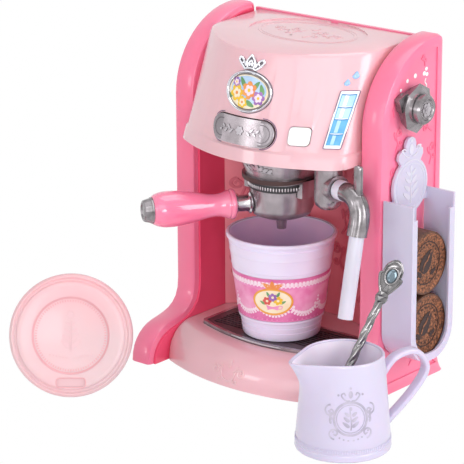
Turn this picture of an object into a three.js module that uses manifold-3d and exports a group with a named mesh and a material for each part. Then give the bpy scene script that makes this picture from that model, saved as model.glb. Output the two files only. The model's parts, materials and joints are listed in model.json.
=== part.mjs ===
// Toy espresso machine play set: the machine with its portafilter, steam wand, dial,
// push button and pod holder, and the loose cup, lid, milk pitcher, spoon and two pods.
// Millimetres, +Z up, -Y is the front. The origin is on the floor, under the middle
// of the machine's base.
import * as THREE from "three";
import { mergeVertices } from "three/addons/utils/BufferGeometryUtils.js";
import Module from "manifold-3d";

const wasm = await Module();
wasm.setup();

// Clearances, walls and tool lengths that all sub-parts share
const fitGap = 0.35;
const shellWall = 2.4;
const overrun = 6;
const weldDistance = 0.01;

// Side frames: two upright panels with an arched top and a stepped foot
const machineHeight = 279;
const bodyHalfWidth = 82;
const frameThickness = 23;
const backY = 67;
const frameFrontY = -12.5;
const frameToeY = -70;
const footHeight = 33;
const footRise = 24;
const heelReach = 8;
const heelHeight = 26;
const archHeight = 66;
const archDepth = 72;
const rearCornerRadius = 6.5;
const frameEdgeRound = 4.5;
const frameInnerRound = 3;
const borderWidth = 9;
const borderRecess = 1.2;
const linerThickness = 2;
const linerLip = 5;

// Base with a bulging front, and the drip tray let into its top
const baseHeight = 29;
const baseFrontY = -67.5;
const baseSideFrontY = -49;
const baseBulgeDepth = 26;
const basePlateThickness = 2.2;
const trayInset = 16;
const trayHalfWidth = bodyHalfWidth - trayInset;
const trayFrontY = -38.5;
const traySideFrontY = -16.8;
const trayStandProud = 2.6;
const trayDepth = 9;
const trayRimWidth = 3;
const grilleThickness = 2;
const grilleSlots = 10;
const grilleSlotWidth = 2.2;
const grilleMargin = 7;

// Curved wall behind the cup, and the rear cover
const nicheMiddleY = 58.3;
const nicheSideY = 23.2;
const rearCoverThickness = 3;
const bossRadius = 4.6;
const bossLength = 16;
const screwRadius = 1.2;
const screwHeadRadius = 2.9;
const screwHeadHeight = 1.6;
const screwLength = 11;
const screwInsetX = 6.4;
const lowerScrewZ = 15;

// Hood: the flared head shell
const hoodBottomShare = 0.665233;
const hoodDrop = 9;
const hoodBottomZ = machineHeight * hoodBottomShare;
const hoodTopZ = machineHeight - hoodDrop;
const hoodFrontBottomY = -60.3;
const hoodSideBottomY = -31;
const hoodFrontTopY = -41.5;
const hoodSideTopY = 6;
const hoodFlangeHeight = 9.6;
const hoodFlangeStep = 1.5;
const hoodCornerRadius = 9;
const hoodRidgeRound = 3.6;
const hoodDeckRise = 3.4;
const deckOvalHalfWidth = 53;
const deckOvalHalfDepth = 35;
const deckOvalY = 29;
const deckOvalDepth = 1.1;
const hoodFloorThickness = 2.4;
const hoodHeight = hoodTopZ - hoodBottomZ;
const rearCoverRise = 4.6;
const rearCoverTopZ = hoodTopZ + rearCoverRise;
const upperScrewDrop = 16;
const upperScrewZ = hoodTopZ - upperScrewDrop;

// What the hood's front carries. Widths and X places are shares of the body's half width,
// heights and Z places are shares of the hood's height
const buttonWidthShare = 0.7317;
const buttonHeightShare = 0.243;
const buttonPlaceShare = 0.27;
const badgePlaceShare = 0.6244;
const badgeHalfWidthShare = 0.261;
const badgeHalfHeightShare = 0.1872;
const crestHalfWidthShare = 0.1585;
const crestHeightShare = 0.147;
const windowXShare = 0.5854;
const windowPlaceShare = 0.2808;
const windowWidthShare = 0.1951;
const windowHeightShare = 0.1706;
const gaugeXShare = 0.8829;
const gaugePlaceShare = 0.436;
const gaugeWidthShare = 0.1463;
const gaugeHeightShare = 0.5166;
const hoodZ = (share) => hoodBottomZ + hoodHeight * share;
const buttonWidth = bodyHalfWidth * buttonWidthShare;
const buttonHeight = hoodHeight * buttonHeightShare;
const buttonZ = hoodZ(buttonPlaceShare);
const buttonProud = 1.6;
const buttonTravel = 2;
const buttonBodyDepth = 6.4;
const buttonFlange = 2.2;
const buttonFlangeThickness = 1.6;
const buttonGap = 0.6;
const plungerRadius = 2.6;
const switchRadius = 5;
const switchLength = 5;
const badgeX = 2;
const badgeZ = hoodZ(badgePlaceShare);
const badgeHalfWidth = bodyHalfWidth * badgeHalfWidthShare;
const badgeHalfHeight = hoodHeight * badgeHalfHeightShare;
const badgeRingWidth = 2.2;
const badgeProud = 2.4;
const badgeFaceProud = 1.1;
const badgeSeat = 1;
const crestHalfWidth = bodyHalfWidth * crestHalfWidthShare;
const crestHeight = hoodHeight * crestHeightShare;
const windowX = bodyHalfWidth * windowXShare;
const windowZ = hoodZ(windowPlaceShare);
const windowWidth = bodyHalfWidth * windowWidthShare;
const windowHeight = hoodHeight * windowHeightShare;
const windowRound = 3.4;
const gaugeX = bodyHalfWidth * gaugeXShare;
const gaugeZ = hoodZ(gaugePlaceShare);
const gaugeWidth = bodyHalfWidth * gaugeWidthShare;
const gaugeHeight = hoodHeight * gaugeHeightShare;
const labelThickness = 0.6;

// Brew head and portafilter, on one upright axis. Drops are measured from the head's top
const brewAxisY = -3.5;
const headTopRadius = 36;
const headNeckRadius = 29.4;
const headTopZ = hoodBottomZ - fitGap;
const headNeckDrop = 20.25;
const headNeckZ = headTopZ - headNeckDrop;
const headSpigotRadius = 22;
const collarOuterRadius = 31.4;
const collarInnerRadius = 28.9;
const collarDrop = 35.75;
const collarBottomZ = headTopZ - collarDrop;
const ledgeInnerRadius = 26.9;
const ledgeDrop = 29.25;
const ledgeTopZ = headTopZ - ledgeDrop;
const windowHalfAngle = THREE.MathUtils.degToRad(80);
const basketRadius = 26;
const basketWall = 2.2;
const basketDrop = 23.85;
const basketTopZ = headTopZ - basketDrop;
const basketDepth = 32.4;
const basketBottomZ = basketTopZ - basketDepth;
const basketRound = 9;
const basketRimRadius = 26.5;
const lugReach = 28.4;
const lugHeight = 3.4;
const lugHalfAngle = THREE.MathUtils.degToRad(11);
const lugAngles = [130, -80].map(THREE.MathUtils.degToRad);
const spoutLength = 11.4;
const spoutTipZ = basketBottomZ - spoutLength;
const spoutRadius = 4.8;
const spoutTipRadius = 3.7;
const handleAngle = THREE.MathUtils.degToRad(235);
const handleDrop = 44.25;
const handleZ = headTopZ - handleDrop;
const neckStart = 24.4;
const neckEnd = 50;
const neckRadius = 6;
const neckFlareRadius = 8.4;
const handleStart = 39;
const handleEnd = 105.5;
const handleCollarRadius = 11.6;
const handleWaistRadius = 9;
const handleBulgeRadius = 14.4;
const handleTailRadius = 11.6;
const capLength = 8;
const capEnd = handleEnd + capLength;
const capRadius = 11.2;

// Steam unit: block under the hood, peg, tap body and pipe
const steamBlockXShare = 0.7073;
const steamBlockX = bodyHalfWidth * steamBlockXShare;
const steamBlockY = -18;
const steamBlockRadius = 11;
const steamBlockHeight = 36.25;
const steamBlockBottomZ = headTopZ - steamBlockHeight;
const steamSpigotRadius = 5;
const pivotReach = 8;
const pivotX = steamBlockX + pivotReach;
const pivotY = -20;
const pivotDrop = 18.25;
const pivotZ = headTopZ - pivotDrop;
const pegTurn = THREE.MathUtils.degToRad(-16.6);
const flangeRadius = 10.4;
const flangeLength = 4.4;
const pegRadius = 5.2;
const pegLength = 13;
const tapStart = 8.6;
const tapReach = 32.6;
const tapRootRadius = 7.4;
const tapBendRadius = 13;
const nozzleRadius = 7.9;
const nozzleDrop = 30;
const leverHeight = 25;
const leverWidth = 7.2;
const leverThickness = 4.6;
const pipeRadius = 6;
const pipeLean = THREE.MathUtils.degToRad(11.5);
const pipeSkew = THREE.MathUtils.degToRad(3.4);
const pipeTopDrop = 20;
const pipeLength = 74;
const tapSeam = 0.35;

// Dial on the right frame
const dialY = 20.4;
const dialPlaceShare = 0.824373;
const dialZ = machineHeight * dialPlaceShare;
const dialPointerRadius = 21;
const dialPointerThickness = 4.6;
const dialPointerHalfWidth = 7.6;
const dialRidgeRadius = 20;
const dialHubRadius = 13;
const dialSkirtThickness = 12;
const dialCapRadius = 11.6;
const dialCapHeight = 5.4;
const dialShaftRadius = 4;
const dialRetainerRadius = 8;
const dialRetainerThickness = 2;
const dialPointerAngle = THREE.MathUtils.degToRad(154);

// Pod holder on the right frame, with two coffee pods. Places up and down are shares of
// the machine's height
const holderFrontY = -10.4;
const holderBackY = 45;
const holderBottomShare = 0.1111;
const holderTopShare = 0.5789;
const holderBottomZ = machineHeight * holderBottomShare;
const holderTopZ = machineHeight * holderTopShare;
const holderDepth = 28;
const holderWall = 2;
const holderCornerRadius = 25;
const holderLip = 4.4;
const holderLipShare = 0.5376;
const holderLipTopZ = machineHeight * holderLipShare;
const holderStripHalfWidth = 8.4;
const plateRadius = 22.2;
const plateY = 21.4;
const platePlaceShare = 0.5986;
const plateZ = machineHeight * platePlaceShare;
const plateThickness = 2.4;
const crownHalfWidth = 15.6;
const crownBaseShare = 0.6645;
const crownTopShare = 0.7384;
const crownBaseZ = machineHeight * crownBaseShare;
const crownTopZ = machineHeight * crownTopShare;
const tabWidth = 8;
const tabHeight = 4;
const tabLength = 7;
const tabLowerShare = 0.3226;
const tabLowerZ = machineHeight * tabLowerShare;
const podRadius = 25.2;
const podThickness = 17;
const podRimWidth = 3;
const podFaceRecess = 1;

// Cup, sleeve and lid
const cupClearance = 1.45;
const trayTopZ = baseHeight + trayStandProud;
const cupHeight = spoutTipZ - trayTopZ - fitGap - cupClearance;
const cupBaseRadius = 32.4;
const cupMouthRadius = 42.8;
const cupRimRadius = 44.5;
const cupRimHeight = 5;
const cupWall = 1.8;
const sleeveBottomShare = 0.2138;
const sleeveTopShare = 0.6532;
const sleeveBottom = cupHeight * sleeveBottomShare;
const sleeveTop = cupHeight * sleeveTopShare;
const sleeveThickness = 0.6;
const lidRadius = 48.4;
const lidHeight = 13;
const lidX = -85.7;
const lidY = -159.4;
const lidTurn = THREE.MathUtils.degToRad(40);
const lidLean = THREE.MathUtils.degToRad(17.5);
const sipWidth = 22;
const sipHeight = 6.4;

// Milk pitcher and spoon
const pitcherX = 141;
const pitcherY = -105.2;
const pitcherHeight = 74;
const pitcherBaseRadius = 36.5;
const pitcherMouthRadius = 30.2;
const pitcherWall = 2.2;
const pitcherBaseRound = 6;
const spoutReach = 17;
const spoutTurn = THREE.MathUtils.degToRad(-111);
const pitcherHandleReach = 42;
const pitcherHandleTop = 62;
const pitcherHandleBottom = 10;
const pitcherHandleThickness = 4.6;
const pitcherHandleWidth = 9;
const spoonLean = THREE.MathUtils.degToRad(32.4);
const spoonTurn = THREE.MathUtils.degToRad(76.6);
const spoonStartX = 129.7;
const spoonStartY = -115.4;
const spoonStartZ = 18.2;
const spoonLength = 134;
const spoonShaftRadius = 2.6;
const spoonFinialLength = 30;
const spoonFinialHalfWidth = 9.6;
const spoonRoll = -36;
const spoonKnotRadius = 5;
const spoonBowlHalfWidth = 9;
const spoonBowlHalfLength = 13;

// Parts inside the hood
const cellRadius = 7.2;
const cellLength = 50;
const batteryBoxShare = 0.5616;
const batteryBoxZ = hoodZ(batteryBoxShare);
const batteryBoxWall = 1.6;
const batteryDoorMargin = 5;
const batteryDoorThickness = 2;
const boardWidth = 44;
const boardHeight = 26;
const boardThickness = 1.6;
const speakerRadius = 18;
const speakerHeight = 9;
const speakerXShare = -0.561;
const speakerX = bodyHalfWidth * speakerXShare;
const speakerY = 30;

const plastic = (color, roughness, metalness = 0) =>
  new THREE.MeshStandardMaterial({ color, roughness, metalness });
const hotPink = plastic(0xf0709c, 0.35);
const palePink = plastic(0xefccd2, 0.32);
const lilac = plastic(0xe0d8ec, 0.4);
const silverGrey = plastic(0x8e898e, 0.38, 0.35);
const trayGrey = plastic(0x57505a, 0.4, 0.25);
const chrome = plastic(0xd8d8dc, 0.15, 0.9);
const pearlWhite = plastic(0xf4f2f4, 0.35);
const printBlue = plastic(0x58b6e2, 0.45);
const printPink = plastic(0xdd6aa6, 0.5);
const podBrown = plastic(0x6e452c, 0.8);
const steel = plastic(0xb4b4b8, 0.3, 0.8);
const boardGreen = plastic(0x2c6a3e, 0.6);
const darkPlastic = plastic(0x2c2a2e, 0.6);
const cellWrap = plastic(0x3f6ea8, 0.5, 0.1);

const machine = new THREE.Group();

// Shape tools

const pointAt = (x, y, z) => new THREE.Vector3(x, y, z);
const mix = THREE.MathUtils.lerp;

function solidOf(geometry) {
  const bare = geometry.clone();
  bare.deleteAttribute("normal");
  bare.deleteAttribute("uv");
  const merged = mergeVertices(bare);
  const place = merged.getAttribute("position");
  const corners = merged.index.array;
  const kept = [];
  let sixVolumes = 0;
  const [a, b, c] = [new THREE.Vector3(), new THREE.Vector3(), new THREE.Vector3()];
  for (let i = 0; i < corners.length; i += 3) {
    const [p, q, r] = [corners[i], corners[i + 1], corners[i + 2]];
    if (p === q || q === r || r === p) continue;
    kept.push([p, q, r]);
    a.fromBufferAttribute(place, p);
    b.fromBufferAttribute(place, q);
    c.fromBufferAttribute(place, r);
    sixVolumes += a.dot(b.cross(c));
  }
  const facingOut = sixVolumes > 0 ? kept : kept.map(([p, q, r]) => [p, r, q]);
  return new wasm.Manifold(new wasm.Mesh({
    numProp: 3,
    vertProperties: new Float32Array(place.array),
    triVerts: new Uint32Array(facingOut.flat()),
  }));
}

function geometryOf(solid) {
  const mesh = solid.getMesh();
  const geometry = new THREE.BufferGeometry();
  const positions = new Float32Array(mesh.numVert * 3);
  for (let i = 0; i < mesh.numVert; i += 1) {
    for (let k = 0; k < 3; k += 1) positions[3 * i + k] = mesh.vertProperties[mesh.numProp * i + k];
  }
  geometry.setAttribute("position", new THREE.BufferAttribute(positions, 3));
  geometry.setIndex(new THREE.BufferAttribute(new Uint32Array(mesh.triVerts), 1));
  geometry.computeVertexNormals();
  return geometry;
}

function addPiece(name, solid, material, parent = machine) {
  const mesh = new THREE.Mesh(geometryOf(solid), material);
  mesh.name = name;
  parent.add(mesh);
  return mesh;
}

// A flat outline pushed along +Z
function extruded(shape, depth, curveSegments = 8) {
  return new THREE.ExtrudeGeometry(shape, { depth, bevelEnabled: false, curveSegments });
}

// The same with both edges rounded; outlineAt gives the outline drawn inwards by an inset
function roundEdged(outlineAt, depth, edge, curveSegments = 8, startEdge = edge) {
  const corner = (radius) => [0, 1, 2].map((step) => step * (Math.PI / 4))
    .map((angle) => [radius * (1 - Math.sin(angle)), radius * (1 - Math.cos(angle))]);
  const levels = [
    ...corner(startEdge),
    ...corner(edge).reverse().map(([inset, sink]) => [inset, depth - sink]),
  ];
  return lofted(levels.map(([inset, height]) => ringOf(outlineAt(inset), height, curveSegments)));
}

// Points of an outline at one height, without repeated ones
function ringOf(shape, height, curveSegments) {
  const kept = [];
  for (const point of shape.getPoints(curveSegments)) {
    if (!kept.length || point.distanceTo(kept.at(-1)) > weldDistance) kept.push(point);
  }
  if (kept[0].distanceTo(kept.at(-1)) < weldDistance) kept.pop();
  return kept.map((p) => pointAt(p.x, p.y, height));
}

// Outline x is world Y and outline y is world Z; the depth runs along +X from startX
function alongX(geometry, startX) {
  const turn = new THREE.Matrix4().makeBasis(pointAt(0, 1, 0), pointAt(0, 0, 1), pointAt(1, 0, 0));
  return geometry.applyMatrix4(turn).translate(startX, 0, 0);
}

// Outline x is world X and outline y is world Z; the depth runs towards the front from startY
function towardsFront(geometry, startY) {
  const turn = new THREE.Matrix4().makeBasis(pointAt(1, 0, 0), pointAt(0, 0, 1), pointAt(0, -1, 0));
  return geometry.applyMatrix4(turn).translate(0, startY, 0);
}

// Revolved profile of [radius, height] pairs about the upright axis
function revolved(profile, segments = 32, start = 0, sweep = 2 * Math.PI) {
  const points = profile.map(([radius, height]) => new THREE.Vector2(radius, height));
  return new THREE.LatheGeometry(points, segments, start, sweep).rotateX(Math.PI / 2);
}

function block(sizeX, sizeY, sizeZ, x, y, z) {
  return new THREE.BoxGeometry(sizeX, sizeY, sizeZ).translate(x, y, z);
}

function cylinder(radius, length, segments = 24) {
  return new THREE.CylinderGeometry(radius, radius, length, segments).rotateX(Math.PI / 2);
}

// A cylinder that lies from front to back
function alongDepth(radius, length, segments) {
  return cylinder(radius, length, segments).rotateX(Math.PI / 2);
}

// A skin over a stack of rings with equal point counts, capped at both ends
function lofted(givenRings) {
  const clockwise = THREE.ShapeUtils.area(givenRings[0]) < 0;
  const rings = clockwise ? givenRings.map((ring) => ring.slice().reverse()) : givenRings;
  const count = rings[0].length;
  const positions = rings.flat().flatMap((p) => [p.x, p.y, p.z]);
  const index = [];
  for (let level = 0; level + 1 < rings.length; level += 1) {
    for (let i = 0; i < count; i += 1) {
      const next = (i + 1) % count;
      const [a, b] = [level * count + i, level * count + next];
      index.push(a, b, b + count, a, b + count, a + count);
    }
  }
  const last = (rings.length - 1) * count;
  const capOf = (ring) => THREE.ShapeUtils.triangulateShape(ring.map((p) => new THREE.Vector2(p.x, p.y)), []);
  for (const [a, b, c] of capOf(rings[0])) index.push(c, b, a);
  for (const [a, b, c] of capOf(rings.at(-1))) index.push(last + a, last + b, last + c);
  const geometry = new THREE.BufferGeometry();
  geometry.setAttribute("position", new THREE.Float32BufferAttribute(positions, 3));
  geometry.setIndex(index);
  return geometry;
}

function roundedRectangle(width, height, radius) {
  const shape = new THREE.Shape();
  const [w, h] = [width / 2, height / 2];
  shape.moveTo(-w + radius, -h);
  shape.lineTo(w - radius, -h);
  shape.quadraticCurveTo(w, -h, w, -h + radius);
  shape.lineTo(w, h - radius);
  shape.quadraticCurveTo(w, h, w - radius, h);
  shape.lineTo(-w + radius, h);
  shape.quadraticCurveTo(-w, h, -w, h - radius);
  shape.lineTo(-w, -h + radius);
  shape.quadraticCurveTo(-w, -h, -w + radius, -h);
  return shape;
}

function capsule(width, height) {
  const [reach, radius] = [(width - height) / 2, height / 2];
  const shape = new THREE.Shape();
  shape.absarc(reach, 0, radius, -Math.PI / 2, Math.PI / 2, false);
  shape.absarc(-reach, 0, radius, Math.PI / 2, 1.5 * Math.PI, false);
  return shape;
}

function ellipse(halfWidth, halfHeight) {
  const shape = new THREE.Shape();
  shape.absellipse(0, 0, halfWidth, halfHeight, 0, 2 * Math.PI, false, 0);
  return shape;
}

// Outline that is symmetrical about x = 0: rows of shares of a width and a height for its
// right half, going up. A row of two is a corner, a row of six a curve with two handles
function symmetricalOutline(rows, width, lowZ, highZ) {
  const at = (xShare, zShare) => [xShare * width, mix(lowZ, highZ, zShare)];
  const shape = new THREE.Shape();
  shape.moveTo(...at(...rows[0]));
  for (const row of rows.slice(1)) {
    if (row.length === 2) shape.lineTo(...at(...row));
    else shape.bezierCurveTo(...at(row[0], row[1]), ...at(row[2], row[3]), ...at(row[4], row[5]));
  }
  for (let i = rows.length - 1; i > 0; i -= 1) {
    const [row, before] = [rows[i], rows[i - 1].slice(-2)];
    if (row.length === 2) shape.lineTo(...at(-before[0], before[1]));
    else shape.bezierCurveTo(...at(-row[2], row[3]), ...at(-row[0], row[1]), ...at(-before[0], before[1]));
  }
  return shape;
}

function mirrored(geometry) {
  const copy = geometry.clone().scale(-1, 1, 1);
  copy.setIndex(new THREE.BufferAttribute(copy.index.array.slice().reverse(), 1));
  return copy;
}

// Side frames

// Panel outline in the YZ plane, drawn inwards by an inset, but flat on the floor
const instepPlaceShare = 0.42;
const instepHeightShare = 0.9;
const toeCurveShare = 0.45;
const shinCurveShare = 0.55;

function frameOutline(inset, floorInset = 0) {
  const toeY = frameToeY + inset;
  const frontY = frameFrontY + inset;
  const instepY = mix(frameToeY, frameFrontY, instepPlaceShare) + inset / 2;
  const instepZ = footHeight * instepHeightShare - inset;
  const toeCurveY = mix(toeY, instepY, toeCurveShare);
  const shinCurveY = mix(instepY, frontY, shinCurveShare);
  const shinZ = footHeight + footRise;
  const archZ = machineHeight - archHeight;
  const topZ = machineHeight - inset;
  const rearY = backY - inset;
  const corner = Math.max(rearCornerRadius - inset, rearCornerRadius / 6);
  const archEndY = Math.min(frameFrontY + archDepth, rearY - corner);
  const shape = new THREE.Shape();
  shape.moveTo(rearY + heelReach, floorInset);
  shape.lineTo(toeY, floorInset);
  shape.bezierCurveTo(
    toeY, (footHeight - inset) / 2, toeCurveY, instepZ * instepHeightShare, instepY, instepZ,
  );
  shape.bezierCurveTo(shinCurveY, footHeight + inset / 8 - inset, frontY, footHeight, frontY, shinZ);
  shape.lineTo(frontY, archZ);
  shape.absellipse(archEndY, archZ, archEndY - frontY, archHeight - inset, Math.PI, Math.PI / 2, true, 0);
  shape.lineTo(rearY - corner, topZ);
  shape.quadraticCurveTo(rearY, topZ, rearY, topZ - corner);
  shape.lineTo(rearY, heelHeight);
  shape.quadraticCurveTo(rearY, heelHeight / 3, rearY + heelReach, floorInset);
  return shape;
}

const frameInnerX = bodyHalfWidth + linerThickness + fitGap;
const frameOuterX = bodyHalfWidth + frameThickness;

// Open moulded shell with rounded edges and a sunk field inside a border
function frameShell() {
  const depth = frameOuterX - frameInnerX;
  const panel = roundEdged(frameOutline, depth, frameEdgeRound, 7, frameInnerRound);
  const body = solidOf(alongX(panel, frameInnerX));
  const hollowAt = (inset) => frameOutline(shellWall + inset, shellWall);
  const hollowDepth = depth - shellWall + overrun;
  const hollowBlock = roundEdged(hollowAt, hollowDepth, frameInnerRound, 7);
  const hollow = solidOf(alongX(hollowBlock, frameInnerX - overrun));
  const field = extruded(frameOutline(borderWidth, borderWidth), overrun, 7);
  return body.subtract(hollow).subtract(solidOf(alongX(field, frameOuterX - borderRecess)));
}

function frameLiner() {
  return solidOf(alongX(extruded(frameOutline(linerLip), linerThickness, 7), bodyHalfWidth));
}

function buildFrames() {
  const shell = frameShell();
  const liner = frameLiner();
  addPiece("left_frame_shell", solidOf(mirrored(geometryOf(shell))), hotPink);
  addPiece("left_frame_liner", solidOf(mirrored(geometryOf(liner))), hotPink);
  const shaftHole = solidOf(cylinder(dialShaftRadius + fitGap, 4 * overrun).rotateY(Math.PI / 2)
    .translate(frameOuterX, dialY, dialZ));
  let rightShell = shell.subtract(shaftHole);
  for (const z of [plateZ, tabLowerZ]) {
    const slot = block(4 * overrun, tabWidth + 2 * fitGap, tabHeight + 2 * fitGap, frameOuterX, plateY, z);
    rightShell = rightShell.subtract(solidOf(slot));
  }
  addPiece("right_frame_shell", rightShell, hotPink);
  addPiece("right_frame_liner", liner, hotPink);
}

// Base, tray and grille

const betweenFrames = bodyHalfWidth - fitGap;
const rearCoverFrontY = backY - rearCoverThickness - fitGap;

// Plan of a body whose front is an arc, given by its depth in the middle and at the
// machine's full half width, and whose sides run straight to the back
function bowedPlan(middleY, sideY, halfWidth, rearY, corner, steps = 14) {
  const bowAt = (x) => mix(middleY, sideY, (x / bodyHalfWidth) ** 2);
  const straight = halfWidth - corner;
  const plan = [];
  for (let i = 0; i <= steps; i += 1) {
    const x = mix(-straight, straight, i / steps);
    plan.push(new THREE.Vector2(x, bowAt(x)));
  }
  const turn = new THREE.QuadraticBezierCurve(
    new THREE.Vector2(straight, bowAt(straight)),
    new THREE.Vector2(halfWidth, bowAt(halfWidth)),
    new THREE.Vector2(halfWidth, bowAt(halfWidth) + corner),
  ).getPoints(4).slice(1);
  plan.push(...turn, new THREE.Vector2(halfWidth, rearY), new THREE.Vector2(-halfWidth, rearY));
  plan.push(...turn.map((p) => new THREE.Vector2(-p.x, p.y)).reverse());
  return plan;
}

const ringAt = (plan, z) => plan.map((p) => pointAt(p.x, p.y, z));
const shapeOf = (plan) => new THREE.Shape(plan);

const baseBulgeShare = 0.84;

function baseBody(wall, roofDrop) {
  const levels = 6;
  const rings = [];
  const bulgeHeight = baseHeight * baseBulgeShare - roofDrop;
  const standZ = baseHeight - roofDrop - bulgeHeight;
  const floorZ = wall ? -overrun : 0;
  const planAt = (pull) => bowedPlan(
    baseFrontY + wall + pull, baseSideFrontY + wall + pull,
    betweenFrames - wall, rearCoverFrontY - wall, shellWall,
  );
  rings.push(ringAt(planAt(0), floorZ));
  for (let i = 0; i <= levels; i += 1) {
    const angle = (i / levels) * (Math.PI / 2);
    const pull = (baseBulgeDepth - wall) * (1 - Math.cos(angle));
    rings.push(ringAt(planAt(pull), standZ + bulgeHeight * Math.sin(angle)));
  }
  return solidOf(lofted(rings));
}

function trayPlan(inset) {
  return bowedPlan(
    trayFrontY + inset, traySideFrontY + inset, trayHalfWidth - inset,
    nicheSideY - 2 * fitGap - inset, trayRimWidth,
  );
}

function bossWithHole(x, z, fromY) {
  const boss = alongDepth(bossRadius, bossLength, 16);
  boss.translate(x, rearCoverFrontY - bossLength / 2, z);
  const pilotLength = bossLength - shellWall + overrun;
  const pilot = alongDepth(screwRadius + fitGap, pilotLength, 12);
  pilot.translate(x, fromY + shellWall + pilotLength / 2, z);
  return [solidOf(boss), solidOf(pilot)];
}

const screwX = bodyHalfWidth - screwInsetX;
const doorWidth = cellLength + 4 * batteryDoorMargin;
const doorHeight = 4 * cellRadius + 2 * batteryDoorMargin;
const doorScrewX = doorWidth / 2 - batteryDoorMargin;
const bossStartY = rearCoverFrontY - bossLength;

function withBosses(body, z) {
  let result = body;
  for (const side of [-1, 1]) {
    const [boss, pilot] = bossWithHole(side * screwX, z, bossStartY);
    result = result.add(boss).subtract(pilot);
  }
  return result;
}

function buildBase() {
  const outer = baseBody(0, 0);
  const inner = baseBody(shellWall, shellWall);
  const trayRoom = extruded(shapeOf(trayPlan(-fitGap)), 3 * overrun);
  const trayHole = solidOf(trayRoom.translate(0, 0, baseHeight - 2 * overrun));
  const housing = withBosses(outer.subtract(inner).subtract(trayHole), lowerScrewZ);
  addPiece("base_housing", housing, palePink);
  const floorPlan = bowedPlan(
    baseFrontY + shellWall + fitGap, baseSideFrontY + shellWall + fitGap,
    betweenFrames - shellWall - fitGap, rearCoverFrontY - shellWall - fitGap, shellWall,
  );
  addPiece("base_plate", solidOf(extruded(shapeOf(floorPlan), basePlateThickness)), palePink);
}

function buildTray() {
  const panBottomZ = trayTopZ - trayDepth;
  const panFloorZ = panBottomZ + shellWall;
  const layer = (inset, depth, z) => solidOf(extruded(shapeOf(trayPlan(inset)), depth).translate(0, 0, z));
  const hollow = layer(trayRimWidth, trayDepth, panFloorZ);
  addPiece("drip_tray", layer(0, trayDepth, panBottomZ).subtract(hollow), silverGrey);
  const plateBottomZ = trayTopZ - grilleThickness;
  let grille = layer(trayRimWidth + fitGap, grilleThickness, plateBottomZ);
  const slotEndX = trayHalfWidth - trayRimWidth - grilleMargin;
  const firstY = mix(trayFrontY, traySideFrontY, (slotEndX / bodyHalfWidth) ** 2) + grilleMargin;
  const lastY = nicheSideY - trayRimWidth - grilleMargin;
  const slotLength = 2 * slotEndX;
  for (let i = 0; i < grilleSlots; i += 1) {
    const y = mix(firstY, lastY, i / (grilleSlots - 1));
    const slot = block(slotLength, grilleSlotWidth, 4 * grilleThickness, 0, y, trayTopZ);
    grille = grille.subtract(solidOf(slot));
  }
  const footY = mix(firstY, lastY, 0.5 / (grilleSlots - 1));
  const footHigh = plateBottomZ - panFloorZ - fitGap;
  const feet = block(trayHalfWidth, grilleSlotWidth, footHigh, 0, footY, plateBottomZ - footHigh / 2);
  addPiece("drip_grille", grille.add(solidOf(feet)), trayGrey);
}

// Wall behind the cup and the rear cover

function buildBack() {
  const wallTopZ = hoodBottomZ - fitGap;
  const hollowPlan = [];
  const frontPlan = [];
  const steps = 16;
  for (let i = 0; i <= steps; i += 1) {
    const x = mix(-betweenFrames, betweenFrames, i / steps);
    const y = mix(nicheMiddleY, nicheSideY, (x / betweenFrames) ** 2);
    frontPlan.push(new THREE.Vector2(x, y));
    hollowPlan.unshift(new THREE.Vector2(x, y + shellWall));
  }
  const wallBottomZ = baseHeight + fitGap;
  const wall = extruded(shapeOf([...frontPlan, ...hollowPlan]), wallTopZ - wallBottomZ);
  addPiece("niche_wall", solidOf(wall.translate(0, 0, wallBottomZ)), palePink);

  const coverBottomZ = fitGap;
  let cover = solidOf(block(
    2 * betweenFrames, rearCoverThickness, rearCoverTopZ - coverBottomZ,
    0, backY - rearCoverThickness / 2, (rearCoverTopZ + coverBottomZ) / 2,
  ));
  const doorway = extruded(roundedRectangle(doorWidth, doorHeight, batteryDoorMargin), 4 * overrun);
  cover = cover.subtract(solidOf(towardsFront(doorway, backY + overrun).translate(0, 0, batteryBoxZ)));
  for (const [x, z] of rearScrewPlaces()) {
    const hole = alongDepth(screwRadius + fitGap, 4 * overrun, 12).translate(x, backY, z);
    const sink = alongDepth(screwHeadRadius + fitGap, 2 * screwHeadHeight, 16).translate(x, backY, z);
    cover = cover.subtract(solidOf(hole)).subtract(solidOf(sink));
  }
  addPiece("rear_cover", cover, hotPink);
  const leaf = roundedRectangle(doorWidth - 2 * fitGap, doorHeight - 2 * fitGap, batteryDoorMargin);
  const door = towardsFront(extruded(leaf, batteryDoorThickness), backY).translate(0, 0, batteryBoxZ);
  const doorHole = alongDepth(screwRadius + fitGap, 4 * overrun, 12)
    .translate(doorScrewX, backY, batteryBoxZ);
  addPiece("battery_door", solidOf(door).subtract(solidOf(doorHole)), hotPink);
}

function rearScrewPlaces() {
  return [[-screwX, lowerScrewZ], [screwX, lowerScrewZ], [-screwX, upperScrewZ], [screwX, upperScrewZ]];
}

function screwSolid() {
  const slot = block(3 * screwHeadRadius, screwHeadHeight / 2, screwHeadHeight, 0, 0, screwHeadHeight);
  const body = revolved([
    [0, -screwLength], [screwRadius, -screwLength + screwRadius], [screwRadius, 0],
    [screwHeadRadius, 0], [screwHeadRadius, screwHeadHeight / 2],
    [screwHeadRadius / 2, screwHeadHeight], [0, screwHeadHeight],
  ], 12);
  return solidOf(body).subtract(solidOf(slot));
}

function buildScrews() {
  const names = ["lower_left", "lower_right", "upper_left", "upper_right"];
  rearScrewPlaces().forEach(([x, z], i) => {
    const screw = addPiece(`screw_${names[i]}`, screwSolid(), steel);
    screw.rotation.x = -Math.PI / 2;
    screw.position.set(x, backY - screwHeadHeight + fitGap, z);
  });
  const screw = addPiece("battery_door_screw", screwSolid(), steel);
  screw.rotation.x = -Math.PI / 2;
  screw.position.set(doorScrewX, backY + fitGap, batteryBoxZ);
}

// Hood

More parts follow.
